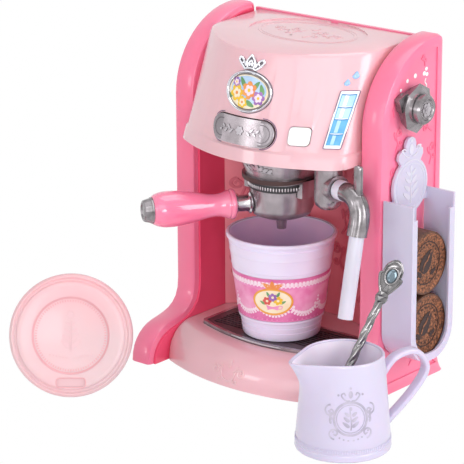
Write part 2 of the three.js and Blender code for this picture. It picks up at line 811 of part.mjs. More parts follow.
function hoodPlan(z, frontOffset, sideOffset = 0, rearOffset = 0) {
  const share = (z - hoodBottomZ) / (hoodTopZ - hoodBottomZ);
  return bowedPlan(
    mix(hoodFrontBottomY, hoodFrontTopY, share) - frontOffset,
    mix(hoodSideBottomY, hoodSideTopY, share) - frontOffset,
    betweenFrames + sideOffset, rearCoverFrontY + rearOffset, hoodCornerRadius, 18,
  );
}

// The deck rises towards the back, so top rings are tilted
function hoodRing(z, frontOffset, sideOffset, rearOffset = 0, tilt = 0) {
  const plan = hoodPlan(z, frontOffset, sideOffset, rearOffset);
  const frontY = Math.min(...plan.map((p) => p.y));
  return plan.map((p) => pointAt(p.x, p.y, z + (tilt * (p.y - frontY)) / (rearCoverFrontY - frontY)));
}

// The block that the hood's sloped faces enclose, grown by an offset and drawn out
// past both of its ends
const drawnOutShare = 0.15;

function hoodFilled(offset) {
  const grow = offset - hoodFlangeStep;
  const low = hoodRing(hoodBottomZ + hoodFlangeHeight + hoodFlangeStep, grow, grow);
  const high = hoodRing(hoodTopZ - hoodRidgeRound, grow, grow, 0, hoodDeckRise);
  const drawnTo = (share) => low.map((point, i) => point.clone().lerp(high[i], share));
  return solidOf(lofted([drawnTo(-drawnOutShare), drawnTo(1 + drawnOutShare)]));
}

const hoodFrontAt = (z, offset) => Math.min(...hoodPlan(z, offset - hoodFlangeStep).map((p) => p.y));

// A plate of given outline that follows the hood's front, between two depths
function onHood(shape, x, z, sink, proud, curveSegments = 8) {
  const reach = -2 * hoodFrontBottomY;
  const prism = towardsFront(extruded(shape, reach, curveSegments), backY / 2).translate(x, 0, z);
  return solidOf(prism).intersect(hoodFilled(proud)).subtract(hoodFilled(-sink));
}

function hoodShell() {
  const flangeTopZ = hoodBottomZ + hoodFlangeHeight;
  const step = hoodFlangeStep;
  const rise = hoodDeckRise;
  const outer = solidOf(lofted([
    hoodRing(hoodBottomZ, 0, 0),
    hoodRing(flangeTopZ, 0, 0),
    hoodRing(flangeTopZ + step, -step, -step),
    hoodRing(hoodTopZ - hoodRidgeRound, -step, -step, 0, rise),
    hoodRing(hoodTopZ - hoodRidgeRound / 3, -step - hoodRidgeRound / 4, -step - hoodRidgeRound / 4, 0, rise),
    hoodRing(hoodTopZ, -step - hoodRidgeRound, -step - hoodRidgeRound, 0, rise),
  ]));
  const wall = shellWall;
  const innerRing = (z, inset, tilt = 0) => hoodRing(z, -wall - inset, -wall - inset, overrun, tilt);
  const inner = solidOf(lofted([
    innerRing(hoodBottomZ - overrun, 0),
    innerRing(flangeTopZ - wall, 0),
    innerRing(flangeTopZ, step),
    innerRing(hoodTopZ - hoodRidgeRound - wall, step, rise),
    innerRing(hoodTopZ - wall, step + hoodRidgeRound, rise),
  ]));
  return outer.subtract(inner);
}

function buildHood() {
  let hood = withBosses(hoodShell(), upperScrewZ);
  const buttonRoom = capsule(buttonWidth + 2 * buttonGap, buttonHeight + 2 * buttonGap);
  const badgeRoom = ellipse(badgeHalfWidth + fitGap, badgeHalfHeight + fitGap);
  const windowRoom = roundedRectangle(windowWidth + 2 * fitGap, windowHeight + 2 * fitGap, windowRound);
  hood = hood.subtract(onHood(buttonRoom, 0, buttonZ, 3 * overrun, overrun, 10));
  hood = hood.subtract(onHood(badgeRoom, badgeX, badgeZ, badgeSeat + fitGap, overrun, 16));
  hood = hood.subtract(onHood(windowRoom, windowX, windowZ, 3 * overrun, overrun, 4));
  const oval = extruded(ellipse(deckOvalHalfWidth, deckOvalHalfDepth), 2 * overrun, 12);
  const deckDepth = rearCoverFrontY - hoodFrontTopY;
  const deckMiddleZ = hoodTopZ + hoodDeckRise * (deckOvalY - hoodFrontTopY) / deckDepth;
  oval.rotateX(Math.atan(hoodDeckRise / deckDepth)).translate(0, deckOvalY, deckMiddleZ - deckOvalDepth);
  addPiece("hood", hood.subtract(solidOf(oval)), palePink);
  buildHoodFloor();
}

function buildHoodFloor() {

  const inset = -shellWall - fitGap;
  const levels = [hoodBottomZ, hoodBottomZ + hoodFloorThickness];
  let floor = solidOf(lofted(levels.map((z) => hoodRing(z, inset, inset))));
  const spigotHole = cylinder(headSpigotRadius + fitGap, 4 * overrun).translate(0, brewAxisY, hoodBottomZ);
  const steamHole = cylinder(steamSpigotRadius + fitGap, 4 * overrun, 16)
    .translate(steamBlockX, steamBlockY, hoodBottomZ);
  floor = floor.subtract(solidOf(spigotHole)).subtract(solidOf(steamHole));
  const soundHoles = 6;
  for (let i = 0; i < soundHoles; i += 1) {
    const angle = (i / soundHoles) * 2 * Math.PI;
    const [x, y] = [Math.cos(angle), Math.sin(angle)].map((value) => (value * speakerRadius) / 2);
    const hole = cylinder(speakerRadius / 8, 4 * overrun, 8);
    floor = floor.subtract(solidOf(hole.translate(speakerX + x, speakerY + y, hoodBottomZ)));
  }
  addPiece("hood_floor", floor, palePink);
}

// Trefoil crest over the badge
const crestShares = [
  [0.42, 0],
  [0.7, 0.05, 1.1, 0.35, 1, 0.62],
  [0.86, 0.86, 0.5, 0.7, 0.36, 0.5],
  [0.4, 0.8, 0.2, 1, 0, 1],
];
const crestOutline = () => symmetricalOutline(crestShares, crestHalfWidth, 0, crestHeight);

function buildHoodFront() {
  const ringShape = ellipse(badgeHalfWidth, badgeHalfHeight);
  const ringHole = ellipse(badgeHalfWidth - badgeRingWidth, badgeHalfHeight - badgeRingWidth);
  const ringSolid = onHood(ringShape, badgeX, badgeZ, badgeSeat, badgeProud, 16);
  const ringOpening = onHood(ringHole, badgeX, badgeZ, overrun, overrun, 16);
  addPiece("badge_ring", ringSolid.subtract(ringOpening), chrome);
  const faceInset = badgeRingWidth + fitGap;
  const faceShape = ellipse(badgeHalfWidth - faceInset, badgeHalfHeight - faceInset);
  addPiece("badge_face", onHood(faceShape, badgeX, badgeZ, badgeSeat, badgeFaceProud, 16), pearlWhite);
  const crestZ = badgeZ + badgeHalfHeight + fitGap;
  addPiece("badge_crest", onHood(crestOutline(), badgeX, crestZ, -fitGap, badgeProud, 4), chrome);
  const pane = roundedRectangle(windowWidth, windowHeight, windowRound);
  addPiece("light_window", onHood(pane, windowX, windowZ, shellWall, labelThickness, 4), pearlWhite);
  const label = roundedRectangle(gaugeWidth, gaugeHeight, gaugeWidth / 12);
  addPiece("gauge_label", onHood(label, gaugeX, gaugeZ, -fitGap, fitGap + labelThickness, 2), printBlue);
}

// Push button with its retaining flange behind the hood wall, and the switch that it works
function buildButton() {
  const cap = onHood(capsule(buttonWidth, buttonHeight), 0, buttonZ, buttonBodyDepth, buttonProud, 10);
  const flangeShape = capsule(buttonWidth + 2 * buttonFlange, buttonHeight + 2 * buttonFlange);
  const flangeSink = shellWall + fitGap + buttonFlangeThickness;
  const flange = onHood(flangeShape, 0, buttonZ, flangeSink, -shellWall - fitGap, 10);
  addPiece("brew_button", cap.add(flange), silverGrey);

  const slope = Math.atan((hoodFrontTopY - hoodFrontBottomY) / (hoodTopZ - hoodBottomZ));
  const frontY = hoodFrontAt(buttonZ, 0);
  const switchGroup = new THREE.Group();
  switchGroup.position.set(0, frontY, buttonZ);
  switchGroup.rotation.x = -slope;
  machine.add(switchGroup);
  const plungerLength = buttonTravel + switchLength / 2;
  const plungerStartY = buttonBodyDepth + fitGap;
  const plunger = alongDepth(plungerRadius, plungerLength, 12)
    .translate(0, plungerStartY + plungerLength / 2, 0);
  addPiece("switch_plunger", solidOf(plunger), darkPlastic, switchGroup);
  const bodyStartY = plungerStartY + buttonTravel + fitGap;
  const boardY = bodyStartY + switchLength + fitGap;
  const body = block(2 * switchRadius, switchLength, 2 * switchRadius, 0, bodyStartY + switchLength / 2, 0);
  const bore = alongDepth(plungerRadius + fitGap, switchLength + overrun, 12)
    .translate(0, bodyStartY + switchLength / 2, 0);
  addPiece("button_switch", solidOf(body).subtract(solidOf(bore)), darkPlastic, switchGroup);
  const board = block(boardWidth, boardThickness, boardHeight, 0, boardY + boardThickness / 2, 0);
  addPiece("circuit_board", solidOf(board), boardGreen, switchGroup);
}

// Battery box, cells and speaker in the hood
const cellNubShare = 0.385;
const speakerShares = [[0, 0.25], [0.5, 0.125], [0.85, 0], [1, 0], [1, 0.33], [0.6, 0.6], [0.6, 1], [0, 1]];

function buildPower() {
  const boxFrontDepth = 2 * (cellRadius + fitGap) + batteryBoxWall;
  const boxBackY = rearCoverFrontY;
  const width = doorWidth - 2 * fitGap;
  const height = doorHeight - 2 * fitGap;
  const box = block(width, boxFrontDepth, height, 0, boxBackY - boxFrontDepth / 2, batteryBoxZ);
  const bayHalf = cellLength / 2 + fitGap;
  let boxSolid = solidOf(box);
  const bayY = boxBackY - boxFrontDepth / 2 + batteryBoxWall;
  const bay = block(2 * bayHalf, boxFrontDepth, 4 * (cellRadius + fitGap), 0, bayY, batteryBoxZ);
  boxSolid = boxSolid.subtract(solidOf(bay));
  const pilot = alongDepth(screwRadius + fitGap, 2 * boxFrontDepth, 12)
    .translate(doorScrewX, boxBackY, batteryBoxZ);
  boxSolid = boxSolid.subtract(solidOf(pilot));
  addPiece("battery_box", boxSolid, palePink);
  const cellY = boxBackY - cellRadius - fitGap / 2;
  const [cellEnd, nubRadius] = [cellLength / 2, cellRadius * cellNubShare];
  const profile = [
    [0, -cellEnd], [cellRadius, -cellEnd], [cellRadius, cellEnd - batteryBoxWall],
    [nubRadius, cellEnd - batteryBoxWall], [nubRadius, cellEnd], [0, cellEnd],
  ];
  ["upper", "lower"].forEach((level, i) => {
    const cell = addPiece(`battery_${level}`, solidOf(revolved(profile, 20)), cellWrap);
    const side = i === 0 ? 1 : -1;
    cell.rotation.y = side * Math.PI / 2;
    cell.position.set(0, cellY, batteryBoxZ + side * (cellRadius + fitGap / 2));
  });
  const speakerZ = hoodBottomZ + hoodFloorThickness + fitGap;
  const profileOfSpeaker = speakerShares.map(([out, up]) => [speakerRadius * out, speakerHeight * up]);
  const cone = revolved(profileOfSpeaker, 24);
  addPiece("speaker", solidOf(cone.translate(speakerX, speakerY, speakerZ)), darkPlastic);
}

// Brew head: funnel, collar with an open front, and the ledge that carries the lugs
const spigotTopZ = headTopZ + hoodFloorThickness + shellWall;

function buildBrewHead() {
  const funnel = solidOf(revolved([
    [0, ledgeTopZ + 2 * lugHeight], [collarInnerRadius, ledgeTopZ + 2 * lugHeight],
    [collarOuterRadius, headNeckZ], [headNeckRadius, headNeckZ], [headNeckRadius, headNeckZ + shellWall],
    [headTopRadius, headTopZ - shellWall], [headTopRadius, headTopZ], [headSpigotRadius, headTopZ],
    [headSpigotRadius, spigotTopZ], [0, spigotTopZ],
  ], 40));
  const collarTopZ = ledgeTopZ + 2 * lugHeight + fitGap;
  const collar = solidOf(revolved([
    [ledgeInnerRadius, collarBottomZ], [collarOuterRadius, collarBottomZ], [collarOuterRadius, collarTopZ],
    [collarInnerRadius, collarTopZ], [collarInnerRadius, ledgeTopZ], [ledgeInnerRadius, ledgeTopZ],
    [ledgeInnerRadius, collarBottomZ],
  ], 40));
  const sector = new THREE.Shape();
  sector.moveTo(0, 0);
  const ahead = -Math.PI / 2;
  sector.absarc(0, 0, 2 * collarOuterRadius, ahead - windowHalfAngle, ahead + windowHalfAngle, false);
  const windowCut = extruded(sector, headNeckZ - collarBottomZ + overrun - lugHeight);
  const head = funnel.add(collar.subtract(solidOf(windowCut.translate(0, 0, collarBottomZ - overrun))));
  const mesh = addPiece("brew_head", head, silverGrey);
  mesh.position.y = brewAxisY;
}

function lug(angle) {
  const shape = new THREE.Shape();
  shape.absarc(0, 0, lugReach, angle - lugHalfAngle, angle + lugHalfAngle, false);
  shape.absarc(0, 0, basketRadius - basketWall / 2, angle + lugHalfAngle, angle - lugHalfAngle, true);
  return solidOf(extruded(shape, lugHeight, 3).translate(0, 0, ledgeTopZ + fitGap));
}

// Shares of the round of the basket's edge, and of the grip from waist to bulge and along it
const edgeRoundShare = 0.3;
const neckFlareShare = 0.82;
const gripShares = [[0, 0.25], [0.45, 0.45], [0.86, 0.66], [1, 0.83]];
const gripTailShares = [0.35, 0.94];
const capTaperShare = 0.86;

function buildPortafilter() {
  const group = new THREE.Group();
  group.position.y = brewAxisY;
  group.rotation.z = handleAngle;
  machine.add(group);
  const round = basketRound;
  const soft = round * edgeRoundShare;
  const innerRadius = basketRadius - basketWall;
  const floorZ = basketBottomZ + basketWall;
  let basket = solidOf(revolved([
    [0, spoutTipZ], [spoutTipRadius, spoutTipZ],
    [spoutRadius, basketBottomZ], [basketRadius - round, basketBottomZ],
    [basketRadius - soft, basketBottomZ + soft], [basketRadius, basketBottomZ + round],
    [basketRadius, basketTopZ - lugHeight], [basketRimRadius, basketTopZ - lugHeight],
    [basketRimRadius, basketTopZ], [innerRadius, basketTopZ], [innerRadius, floorZ + round],
    [innerRadius - soft, floorZ + soft], [innerRadius - round, floorZ], [0, floorZ],
  ], 40));
  for (const angle of lugAngles) basket = basket.add(lug(angle));
  const bore = cylinder(spoutTipRadius / 2, 2 * spoutLength, 10).translate(0, 0, spoutTipZ + spoutLength / 2);
  addPiece("portafilter_basket", basket.subtract(solidOf(bore)), silverGrey, group);

  const neck = solidOf(revolved([
    [0, neckStart], [neckFlareRadius, neckStart],
    [neckFlareRadius * neckFlareShare, neckStart + neckRadius / 2],
    [neckRadius, neckStart + neckRadius], [neckRadius, neckEnd], [0, neckEnd],
  ], 20).rotateY(Math.PI / 2).translate(0, 0, handleZ));
  const basketRoom = solidOf(cylinder(basketRadius + fitGap, machineHeight, 40).translate(0, 0, handleZ));
  addPiece("portafilter_neck", neck.subtract(basketRoom), silverGrey, group);

  const grip = revolved(gripProfile(), 24).rotateY(Math.PI / 2).translate(0, 0, handleZ);
  addPiece("portafilter_handle", solidOf(grip), hotPink, group);
  const capStart = handleEnd + fitGap;
  const cap = revolved([
    [0, capStart], [capRadius, capStart], [capRadius, mix(capStart, capEnd, 0.6)],
    [capRadius * capTaperShare, capEnd], [0, capEnd],
  ], 24);
  addPiece("handle_end_cap", solidOf(cap.rotateY(Math.PI / 2).translate(0, 0, handleZ)), silverGrey, group);
}

function gripProfile() {
  const socket = neckRadius + fitGap;
  const collarEnd = handleStart + 3 * shellWall;
  const [tailSwell, tailAlong] = gripTailShares;
  return [
    [socket, handleStart], [handleCollarRadius - shellWall, handleStart],
    [handleCollarRadius, handleStart + shellWall], [handleCollarRadius, collarEnd],
    [handleWaistRadius, collarEnd + shellWall],
    ...gripShares.map(([swell, along]) => [
      mix(handleWaistRadius, handleBulgeRadius, swell), mix(handleStart, handleEnd, along),
    ]),
    [mix(handleBulgeRadius, handleTailRadius, tailSwell), mix(handleStart, handleEnd, tailAlong)],
    [handleTailRadius, handleEnd], [0, handleEnd], [0, neckEnd + fitGap],
    [socket, neckEnd + fitGap], [socket, handleStart],
  ];
}

// Steam unit. The tap group's +X is the pivot axis
const blockRoundShares = [[0.6, 0], [0.9, 0.25], [1, 0.6]];
const tapGrowShare = 1.6;
const leverRoundShare = 0.48;

function lyingCylinder(radius, length, segments) {
  return cylinder(radius, length, segments).rotateY(Math.PI / 2);
}

function buildSteamBlock() {
  const r = steamBlockRadius;
  const blockSolid = solidOf(revolved([
    [0, steamBlockBottomZ],
    ...blockRoundShares.map(([out, up]) => [r * out, steamBlockBottomZ + r * up]),
    [r, headTopZ], [steamSpigotRadius, headTopZ], [steamSpigotRadius, spigotTopZ], [0, spigotTopZ],
  ], 28).translate(steamBlockX, steamBlockY, 0));
  const toPivot = (geometry) => solidOf(geometry.rotateZ(pegTurn).translate(pivotX, pivotY, pivotZ));
  const flange = toPivot(lyingCylinder(flangeRadius, 2 * flangeLength, 28));
  const socketRoom = lyingCylinder(pegRadius + fitGap, 2 * flangeLength, 20);
  const socket = toPivot(socketRoom.translate(flangeLength, 0, 0));
  addPiece("steam_block", blockSolid.add(flange).subtract(socket), silverGrey);
}

// The tap bends from the pivot's axis down into the direction of the pipe
const pipeDirection = pointAt(0, 0, -1)
  .applyAxisAngle(pointAt(1, 0, 0), -pipeLean).applyAxisAngle(pointAt(0, 1, 0), -pipeSkew);
const elbowEnd = pointAt(tapReach, 0, -tapBendRadius);
const alongPipe = (drop) => elbowEnd.clone().addScaledVector(pipeDirection, drop - tapBendRadius);
const elbowCornerShare = 0.3;

function tapElbow() {
  const cornerDrop = tapBendRadius * elbowCornerShare;
  const bend = new THREE.CatmullRomCurve3([
    pointAt(tapStart, 0, 0), pointAt(tapReach - tapBendRadius, 0, 0),
    pointAt(tapReach - cornerDrop, 0, -cornerDrop), elbowEnd, alongPipe(nozzleDrop),
  ], false, "centripetal");
  const steps = 16;
  const sides = 20;
  const rings = [];
  for (let i = 0; i <= steps; i += 1) {
    const share = i / steps;
    const centre = bend.getPoint(share);
    const across = pointAt(0, 1, 0);
    const up = bend.getTangent(share).cross(across).normalize();
    const side = up.clone().cross(bend.getTangent(share)).normalize();
    const radius = mix(tapRootRadius, nozzleRadius, Math.min(1, share * tapGrowShare));
    rings.push(Array.from({ length: sides }, (unused, k) => {
      const angle = (k / sides) * 2 * Math.PI;
      const [c, d] = [radius * Math.cos(angle), radius * Math.sin(angle)];
      return centre.clone().addScaledVector(side, -c).addScaledVector(up, d);
    }));
  }
  return solidOf(tubeOfRings(rings));
}

function buildSteamUnit() {
  buildSteamBlock();
  const group = new THREE.Group();
  group.position.set(pivotX, pivotY, pivotZ);
  group.rotation.z = pegTurn;
  machine.add(group);
  const peg = lyingCylinder(pegRadius, pegLength, 20).translate(fitGap + pegLength / 2, 0, 0);
  addPiece("wand_peg", solidOf(peg), lilac, group);
  const bore = solidOf(lyingCylinder(pegRadius + fitGap, 2 * pegLength, 20).translate(fitGap, 0, 0));
  const paddleAt = (inset) =>
    roundedRectangle(leverWidth - 2 * inset, leverHeight - 2 * inset, leverWidth * leverRoundShare - inset);
  const paddle = roundEdged(paddleAt, leverThickness, leverThickness / 4, 6);
  const lever = solidOf(towardsFront(paddle, leverThickness / 2)
    .translate(tapReach - leverWidth / 3, 0, leverHeight / 2));
  const pipeTop = alongPipe(pipeTopDrop);
  const pipeAxis = (geometry) => solidOf(
    geometry.rotateX(-pipeLean).rotateY(-pipeSkew).translate(pipeTop.x, pipeTop.y, pipeTop.z),
  );
  const pipeRoom = pipeAxis(cylinder(pipeRadius + fitGap, 2 * nozzleDrop, 24).translate(0, 0, -nozzleDrop));
  const tap = tapElbow().add(lever).subtract(bore).subtract(pipeRoom);
  const tall = 4 * leverHeight;
  const half = (side) => solidOf(block(tall, tall, tall, tapReach, (side * (tall + tapSeam)) / 2, 0));
  addPiece("wand_tap_front", tap.intersect(half(-1)), silverGrey, group);
  addPiece("wand_tap_rear", tap.intersect(half(1)), silverGrey, group);
  const pipe = cylinder(pipeRadius, pipeLength, 24).translate(0, 0, -pipeLength / 2 - fitGap);
  addPiece("wand_pipe", pipeAxis(pipe), lilac, group);
}

// Skin over rings that stand at any angle, capped by fans on their middle points
function tubeOfRings(rings) {
  const count = rings[0].length;
  const points = rings.flat();
  const index = [];
  for (let level = 0; level + 1 < rings.length; level += 1) {
    for (let i = 0; i < count; i += 1) {
      const next = (i + 1) % count;
      const [a, b] = [level * count + i, level * count + next];
      index.push(a, b, b + count, a, b + count, a + count);
    }
  }
  const middle = (ring) => ring.reduce((sum, p) => sum.add(p), new THREE.Vector3()).divideScalar(ring.length);
  const last = (rings.length - 1) * count;
  points.push(middle(rings[0]), middle(rings.at(-1)));
  for (let i = 0; i < count; i += 1) {
    const next = (i + 1) % count;
    index.push(points.length - 2, next, i, points.length - 1, last + i, last + next);
  }
  const geometry = new THREE.BufferGeometry();
  const positions = points.flatMap((p) => [p.x, p.y, p.z]);
  geometry.setAttribute("position", new THREE.Float32BufferAttribute(positions, 3));
  geometry.setIndex(index);
  return geometry;
}

// Dial: a faceted skirt with a pointer at its foot, and a round cap. Corner rows hold the
// turn from the pointer, as a share of half a turn, and the share of the ridge's radius
const dialCornerShares = [[0.11, 0.8], [0.41, 0.95], [0.645, 1], [0.83, 0.92]];
const dialRidgeShares = [[0, 0.76], [0.66, 1], [1, 0.68]];
const dialCapShares = [[1, 0], [1, 0.7], [0.88, 1], [0.74, 1], [0.68, 0.8], [0, 0.8]];

function dialRing(scale, height) {
  const turns = dialCornerShares.concat(dialCornerShares.map(([turn, out]) => [-turn, out]).reverse());
  return turns.map(([turn, out]) => {
    const angle = dialPointerAngle + turn * Math.PI;
    const radius = dialRidgeRadius * out * scale;
    return pointAt(radius * Math.cos(angle), radius * Math.sin(angle), height);
  });
}

function dialPointer() {
  const shape = new THREE.Shape();
  shape.moveTo(0, -dialPointerHalfWidth);
  shape.lineTo(dialHubRadius, -dialPointerHalfWidth);
  shape.lineTo(dialPointerRadius, 0);
  shape.lineTo(dialHubRadius, dialPointerHalfWidth);
  shape.lineTo(0, dialPointerHalfWidth);
  return extruded(shape, dialPointerThickness).rotateZ(dialPointerAngle);
}

function buildDial() {
  const group = new THREE.Group();
  group.position.set(0, dialY, dialZ);
  machine.add(group);
  const skirtX = frameOuterX + fitGap;
  const rings = dialRidgeShares.map(([up, out]) => dialRing(out, dialSkirtThickness * up));
  const skirt = solidOf(alongX(lofted(rings), skirtX));
  const pointer = solidOf(alongX(dialPointer(), skirtX));
  const shaftBore = lyingCylinder(dialShaftRadius + fitGap, 3 * dialSkirtThickness, 16)
    .translate(skirtX, 0, 0);
  const hub = lyingCylinder(dialHubRadius, dialSkirtThickness, 28)
    .translate(skirtX + dialSkirtThickness / 2, 0, 0);
  const body = skirt.add(pointer).add(solidOf(hub)).subtract(solidOf(shaftBore));
  addPiece("dial_skirt", body, silverGrey, group);
  const capX = skirtX + dialSkirtThickness + fitGap;
  const cap = dialCapShares.map(([out, up]) => [dialCapRadius * out, dialCapHeight * up]);
  const capSolid = solidOf(revolved([[0, 0], ...cap], 28).rotateY(Math.PI / 2).translate(capX, 0, 0));
  addPiece("dial_cap", capSolid, silverGrey, group);
  const retainerX = frameOuterX - borderRecess - shellWall - dialRetainerThickness;
  const shaftEndX = capX - fitGap;
  const shaftLength = shaftEndX - retainerX + shellWall;
  const shaft = lyingCylinder(dialShaftRadius, shaftLength, 16).translate(shaftEndX - shaftLength / 2, 0, 0);
  addPiece("dial_shaft", solidOf(shaft), darkPlastic, group);
  const washer = lyingCylinder(dialRetainerRadius, dialRetainerThickness, 20)
    .translate(retainerX + dialRetainerThickness / 2 + borderRecess - fitGap, 0, 0);
  const washerBore = lyingCylinder(dialShaftRadius + fitGap, 3 * dialRetainerThickness, 16)
    .translate(retainerX + dialRetainerThickness, 0, 0);
  addPiece("dial_retainer", solidOf(washer).subtract(solidOf(washerBore)), darkPlastic, group);
}

// Pod holder and pods

function holderOutline(inset, topZ) {
  const [frontY, rearY, bottomZ] = [holderFrontY + inset, holderBackY - inset, holderBottomZ + inset];
  const corner = holderCornerRadius - inset;
  const shape = new THREE.Shape();
  shape.moveTo(frontY, topZ);
  shape.lineTo(frontY, bottomZ + corner);
  shape.absarc(frontY + corner, bottomZ + corner, corner, Math.PI, 1.5 * Math.PI, false);
  shape.lineTo(rearY - corner, bottomZ);
  shape.absarc(rearY - corner, bottomZ + corner, corner, 1.5 * Math.PI, 2 * Math.PI, false);
  shape.lineTo(rearY, topZ);
  return shape;
}

// Three-lobed top of the holder's plate
const crownShares = [
  [0.8, -0.3],
  [0.8, 0],
  [1.3, 0.3, 0.9, 0.7, 0.42, 0.5],
  [0.5, 0.9, 0.2, 1, 0, 1],
];
const crownOutline = () => symmetricalOutline(crownShares, crownHalfWidth, crownBaseZ, crownTopZ);

function buildPodHolder() {
  const startX = frameOuterX + fitGap;
  const outer = solidOf(alongX(extruded(holderOutline(0, holderTopZ), holderDepth, 7), startX));
  const channelRoom = extruded(holderOutline(holderWall, holderTopZ + overrun), 2 * holderDepth, 7);
  const channel = solidOf(alongX(channelRoom, startX - overrun));
  const lip = extruded(holderOutline(0, holderLipTopZ), holderWall, 7);
  const lipFull = solidOf(alongX(lip, startX + holderDepth - holderWall));
  const lipRoom = extruded(holderOutline(holderLip + holderWall, holderTopZ + overrun), 2 * holderDepth, 7);
  const lipHole = solidOf(alongX(lipRoom, startX));
  const [plateX, middleY] = [startX + plateThickness / 2, (holderFrontY + holderBackY) / 2];
  const spineBottomZ = holderBottomZ + holderWall / 2;
  const spine = block(
    plateThickness, 2 * holderStripHalfWidth, plateZ - spineBottomZ,
    plateX, plateY, (plateZ + spineBottomZ) / 2,
  );
  const disc = lyingCylinder(plateRadius, plateThickness, 32).translate(plateX, plateY, plateZ);
  const crown = alongX(extruded(crownOutline(), plateThickness, 4), startX).translate(0, plateY, 0);
  const bridgeWidth = holderBackY - holderFrontY - holderWall;
  const bridgeZ = holderTopZ - 3 * holderWall;
  const bridge = block(plateThickness, bridgeWidth, 3 * holderWall, plateX, middleY, bridgeZ);
  let holder = outer.subtract(channel).add(lipFull.subtract(lipHole));
  for (const piece of [spine, disc, crown, bridge]) holder = holder.add(solidOf(piece));
  for (const z of [plateZ, tabLowerZ]) {
    holder = holder.add(solidOf(block(tabLength, tabWidth, tabHeight, plateX - tabLength / 2, plateY, z)));
  }
  addPiece("pod_holder", holder, lilac);
  buildPods(startX, middleY);
}

function buildPods(startX, middleY) {
  const podStartX = startX + plateThickness + (holderDepth - plateThickness - holderWall - podThickness) / 2;
  const [r, t, rim, dip] = [podRadius, podThickness, podRimWidth, podFaceRecess];
  const profile = [
    [0, dip], [r - 2 * rim, dip], [r - rim - dip, 0], [r - dip, 0], [r, dip],
    [r, t - dip], [r - dip, t], [r - rim - dip, t], [r - 2 * rim, t - dip], [0, t - dip],
  ];
  const lowerZ = holderBottomZ + holderWall + fitGap + podRadius;
  const upperZ = lowerZ + 2 * podRadius + fitGap;
  [["lower", lowerZ], ["upper", upperZ]].forEach(([level, z]) => {
    const pod = addPiece(`coffee_pod_${level}`, solidOf(revolved(profile, 28)), podBrown);
    pod.rotation.y = Math.PI / 2;
    pod.position.set(podStartX, middleY, z);
  });
}

// Cup, sleeve and lid

function cupRadiusAt(z) {
  return mix(cupBaseRadius, cupMouthRadius, z / (cupHeight - cupRimHeight));
}

const cupBandShare = 0.4;

function buildCup() {
  const group = new THREE.Group();
  group.position.set(0, brewAxisY, trayTopZ + fitGap);
  machine.add(group);
  const bandZ = sleeveBottom * cupBandShare;
  const innerLow = 2 * cupWall;
  const seat = sleeveThickness + fitGap;
  const [low, high] = [sleeveBottom - fitGap, sleeveTop + fitGap];
  const lipZ = cupHeight - cupRimHeight;
  const cup = revolved([
    [0, cupWall / 2], [cupBaseRadius - 3 * cupWall, cupWall / 2],
    [cupBaseRadius - 2.4 * cupWall, 0], [cupBaseRadius - cupWall, 0],
    [cupRadiusAt(bandZ) - cupWall / 2, bandZ], [cupRadiusAt(bandZ), bandZ + cupWall / 2],
    [cupRadiusAt(low), low], [cupRadiusAt(low) - seat, low],
    [cupRadiusAt(high) - seat, high], [cupRadiusAt(high), high],
    [cupRadiusAt(lipZ) - cupWall / 3, lipZ - cupWall], [cupRimRadius, lipZ],
    [cupRimRadius, cupHeight - cupWall], [cupRimRadius - cupWall / 2, cupHeight],
    [cupRimRadius - 1.4 * cupWall, cupHeight], [cupMouthRadius - cupWall, lipZ],
    [cupBaseRadius - 2 * cupWall, innerLow], [0, innerLow],
  ], 40);
  addPiece("cup", solidOf(cup), lilac, group);
  const [lowRadius, highRadius] = [cupRadiusAt(sleeveBottom), cupRadiusAt(sleeveTop)];
  const film = revolved([
    [lowRadius - sleeveThickness, sleeveBottom], [lowRadius, sleeveBottom],
    [highRadius, sleeveTop], [highRadius - sleeveThickness, sleeveTop],
    [lowRadius - sleeveThickness, sleeveBottom],
  ], 40);
  addPiece("cup_sleeve", solidOf(film), printPink, group);
}

// Rows of the lid's section: shares of its radius, and of its height down from the ring
const lidTopShares = [
  [0, -0.18], [0.6, -0.18], [0.63, -0.06], [0.8, 0], [0.86, 0], [0.89, -0.16], [0.92, -0.16], [0.95, -0.04],
  [1, -0.24], [1, -1],
];
const lidInnerShares = [0.6, -0.18, -0.3];
const sipPlaceShare = 0.76;
const sipRoundShare = 0.4;

function buildLid() {
  const group = new THREE.Group();
  const tilt = Math.PI / 2 - lidLean;
  const restZ = lidRadius * Math.cos(lidLean) + lidHeight * Math.sin(lidLean) + fitGap;
  group.position.set(lidX, lidY, restZ);
  group.rotation.order = "ZXY";
  group.rotation.z = lidTurn;
  group.rotation.x = tilt;
  machine.add(group);
  const [innerShare, roofShare, cornerShare] = lidInnerShares;
  const roofZ = roofShare * lidHeight - cupWall;
  const lid = revolved([
    ...lidTopShares.map(([out, up]) => [lidRadius * out, lidHeight * up]),
    [lidRadius - cupWall, -lidHeight], [lidRadius - cupWall, cornerShare * lidHeight],
    [lidRadius * innerShare, roofZ], [0, roofZ],
  ], 40);
  const sip = towardsFrontSlot(sipWidth, sipHeight);
  addPiece("cup_lid", solidOf(lid).subtract(sip), palePink, group);
}

function towardsFrontSlot(width, height) {
  const slot = extruded(roundedRectangle(width, height, height * sipRoundShare), 4 * lidHeight, 4);
  return solidOf(slot.translate(0, -lidRadius * sipPlaceShare, -2 * lidHeight));
}

// Pitcher and spoon

// Radius of the pitcher wall at a height and angle; the mouth is drawn out into a spout
const spoutStartShare = 0.5;
const spoutSpreadShare = 0.42;
const spoutCurveShare = 1.6;

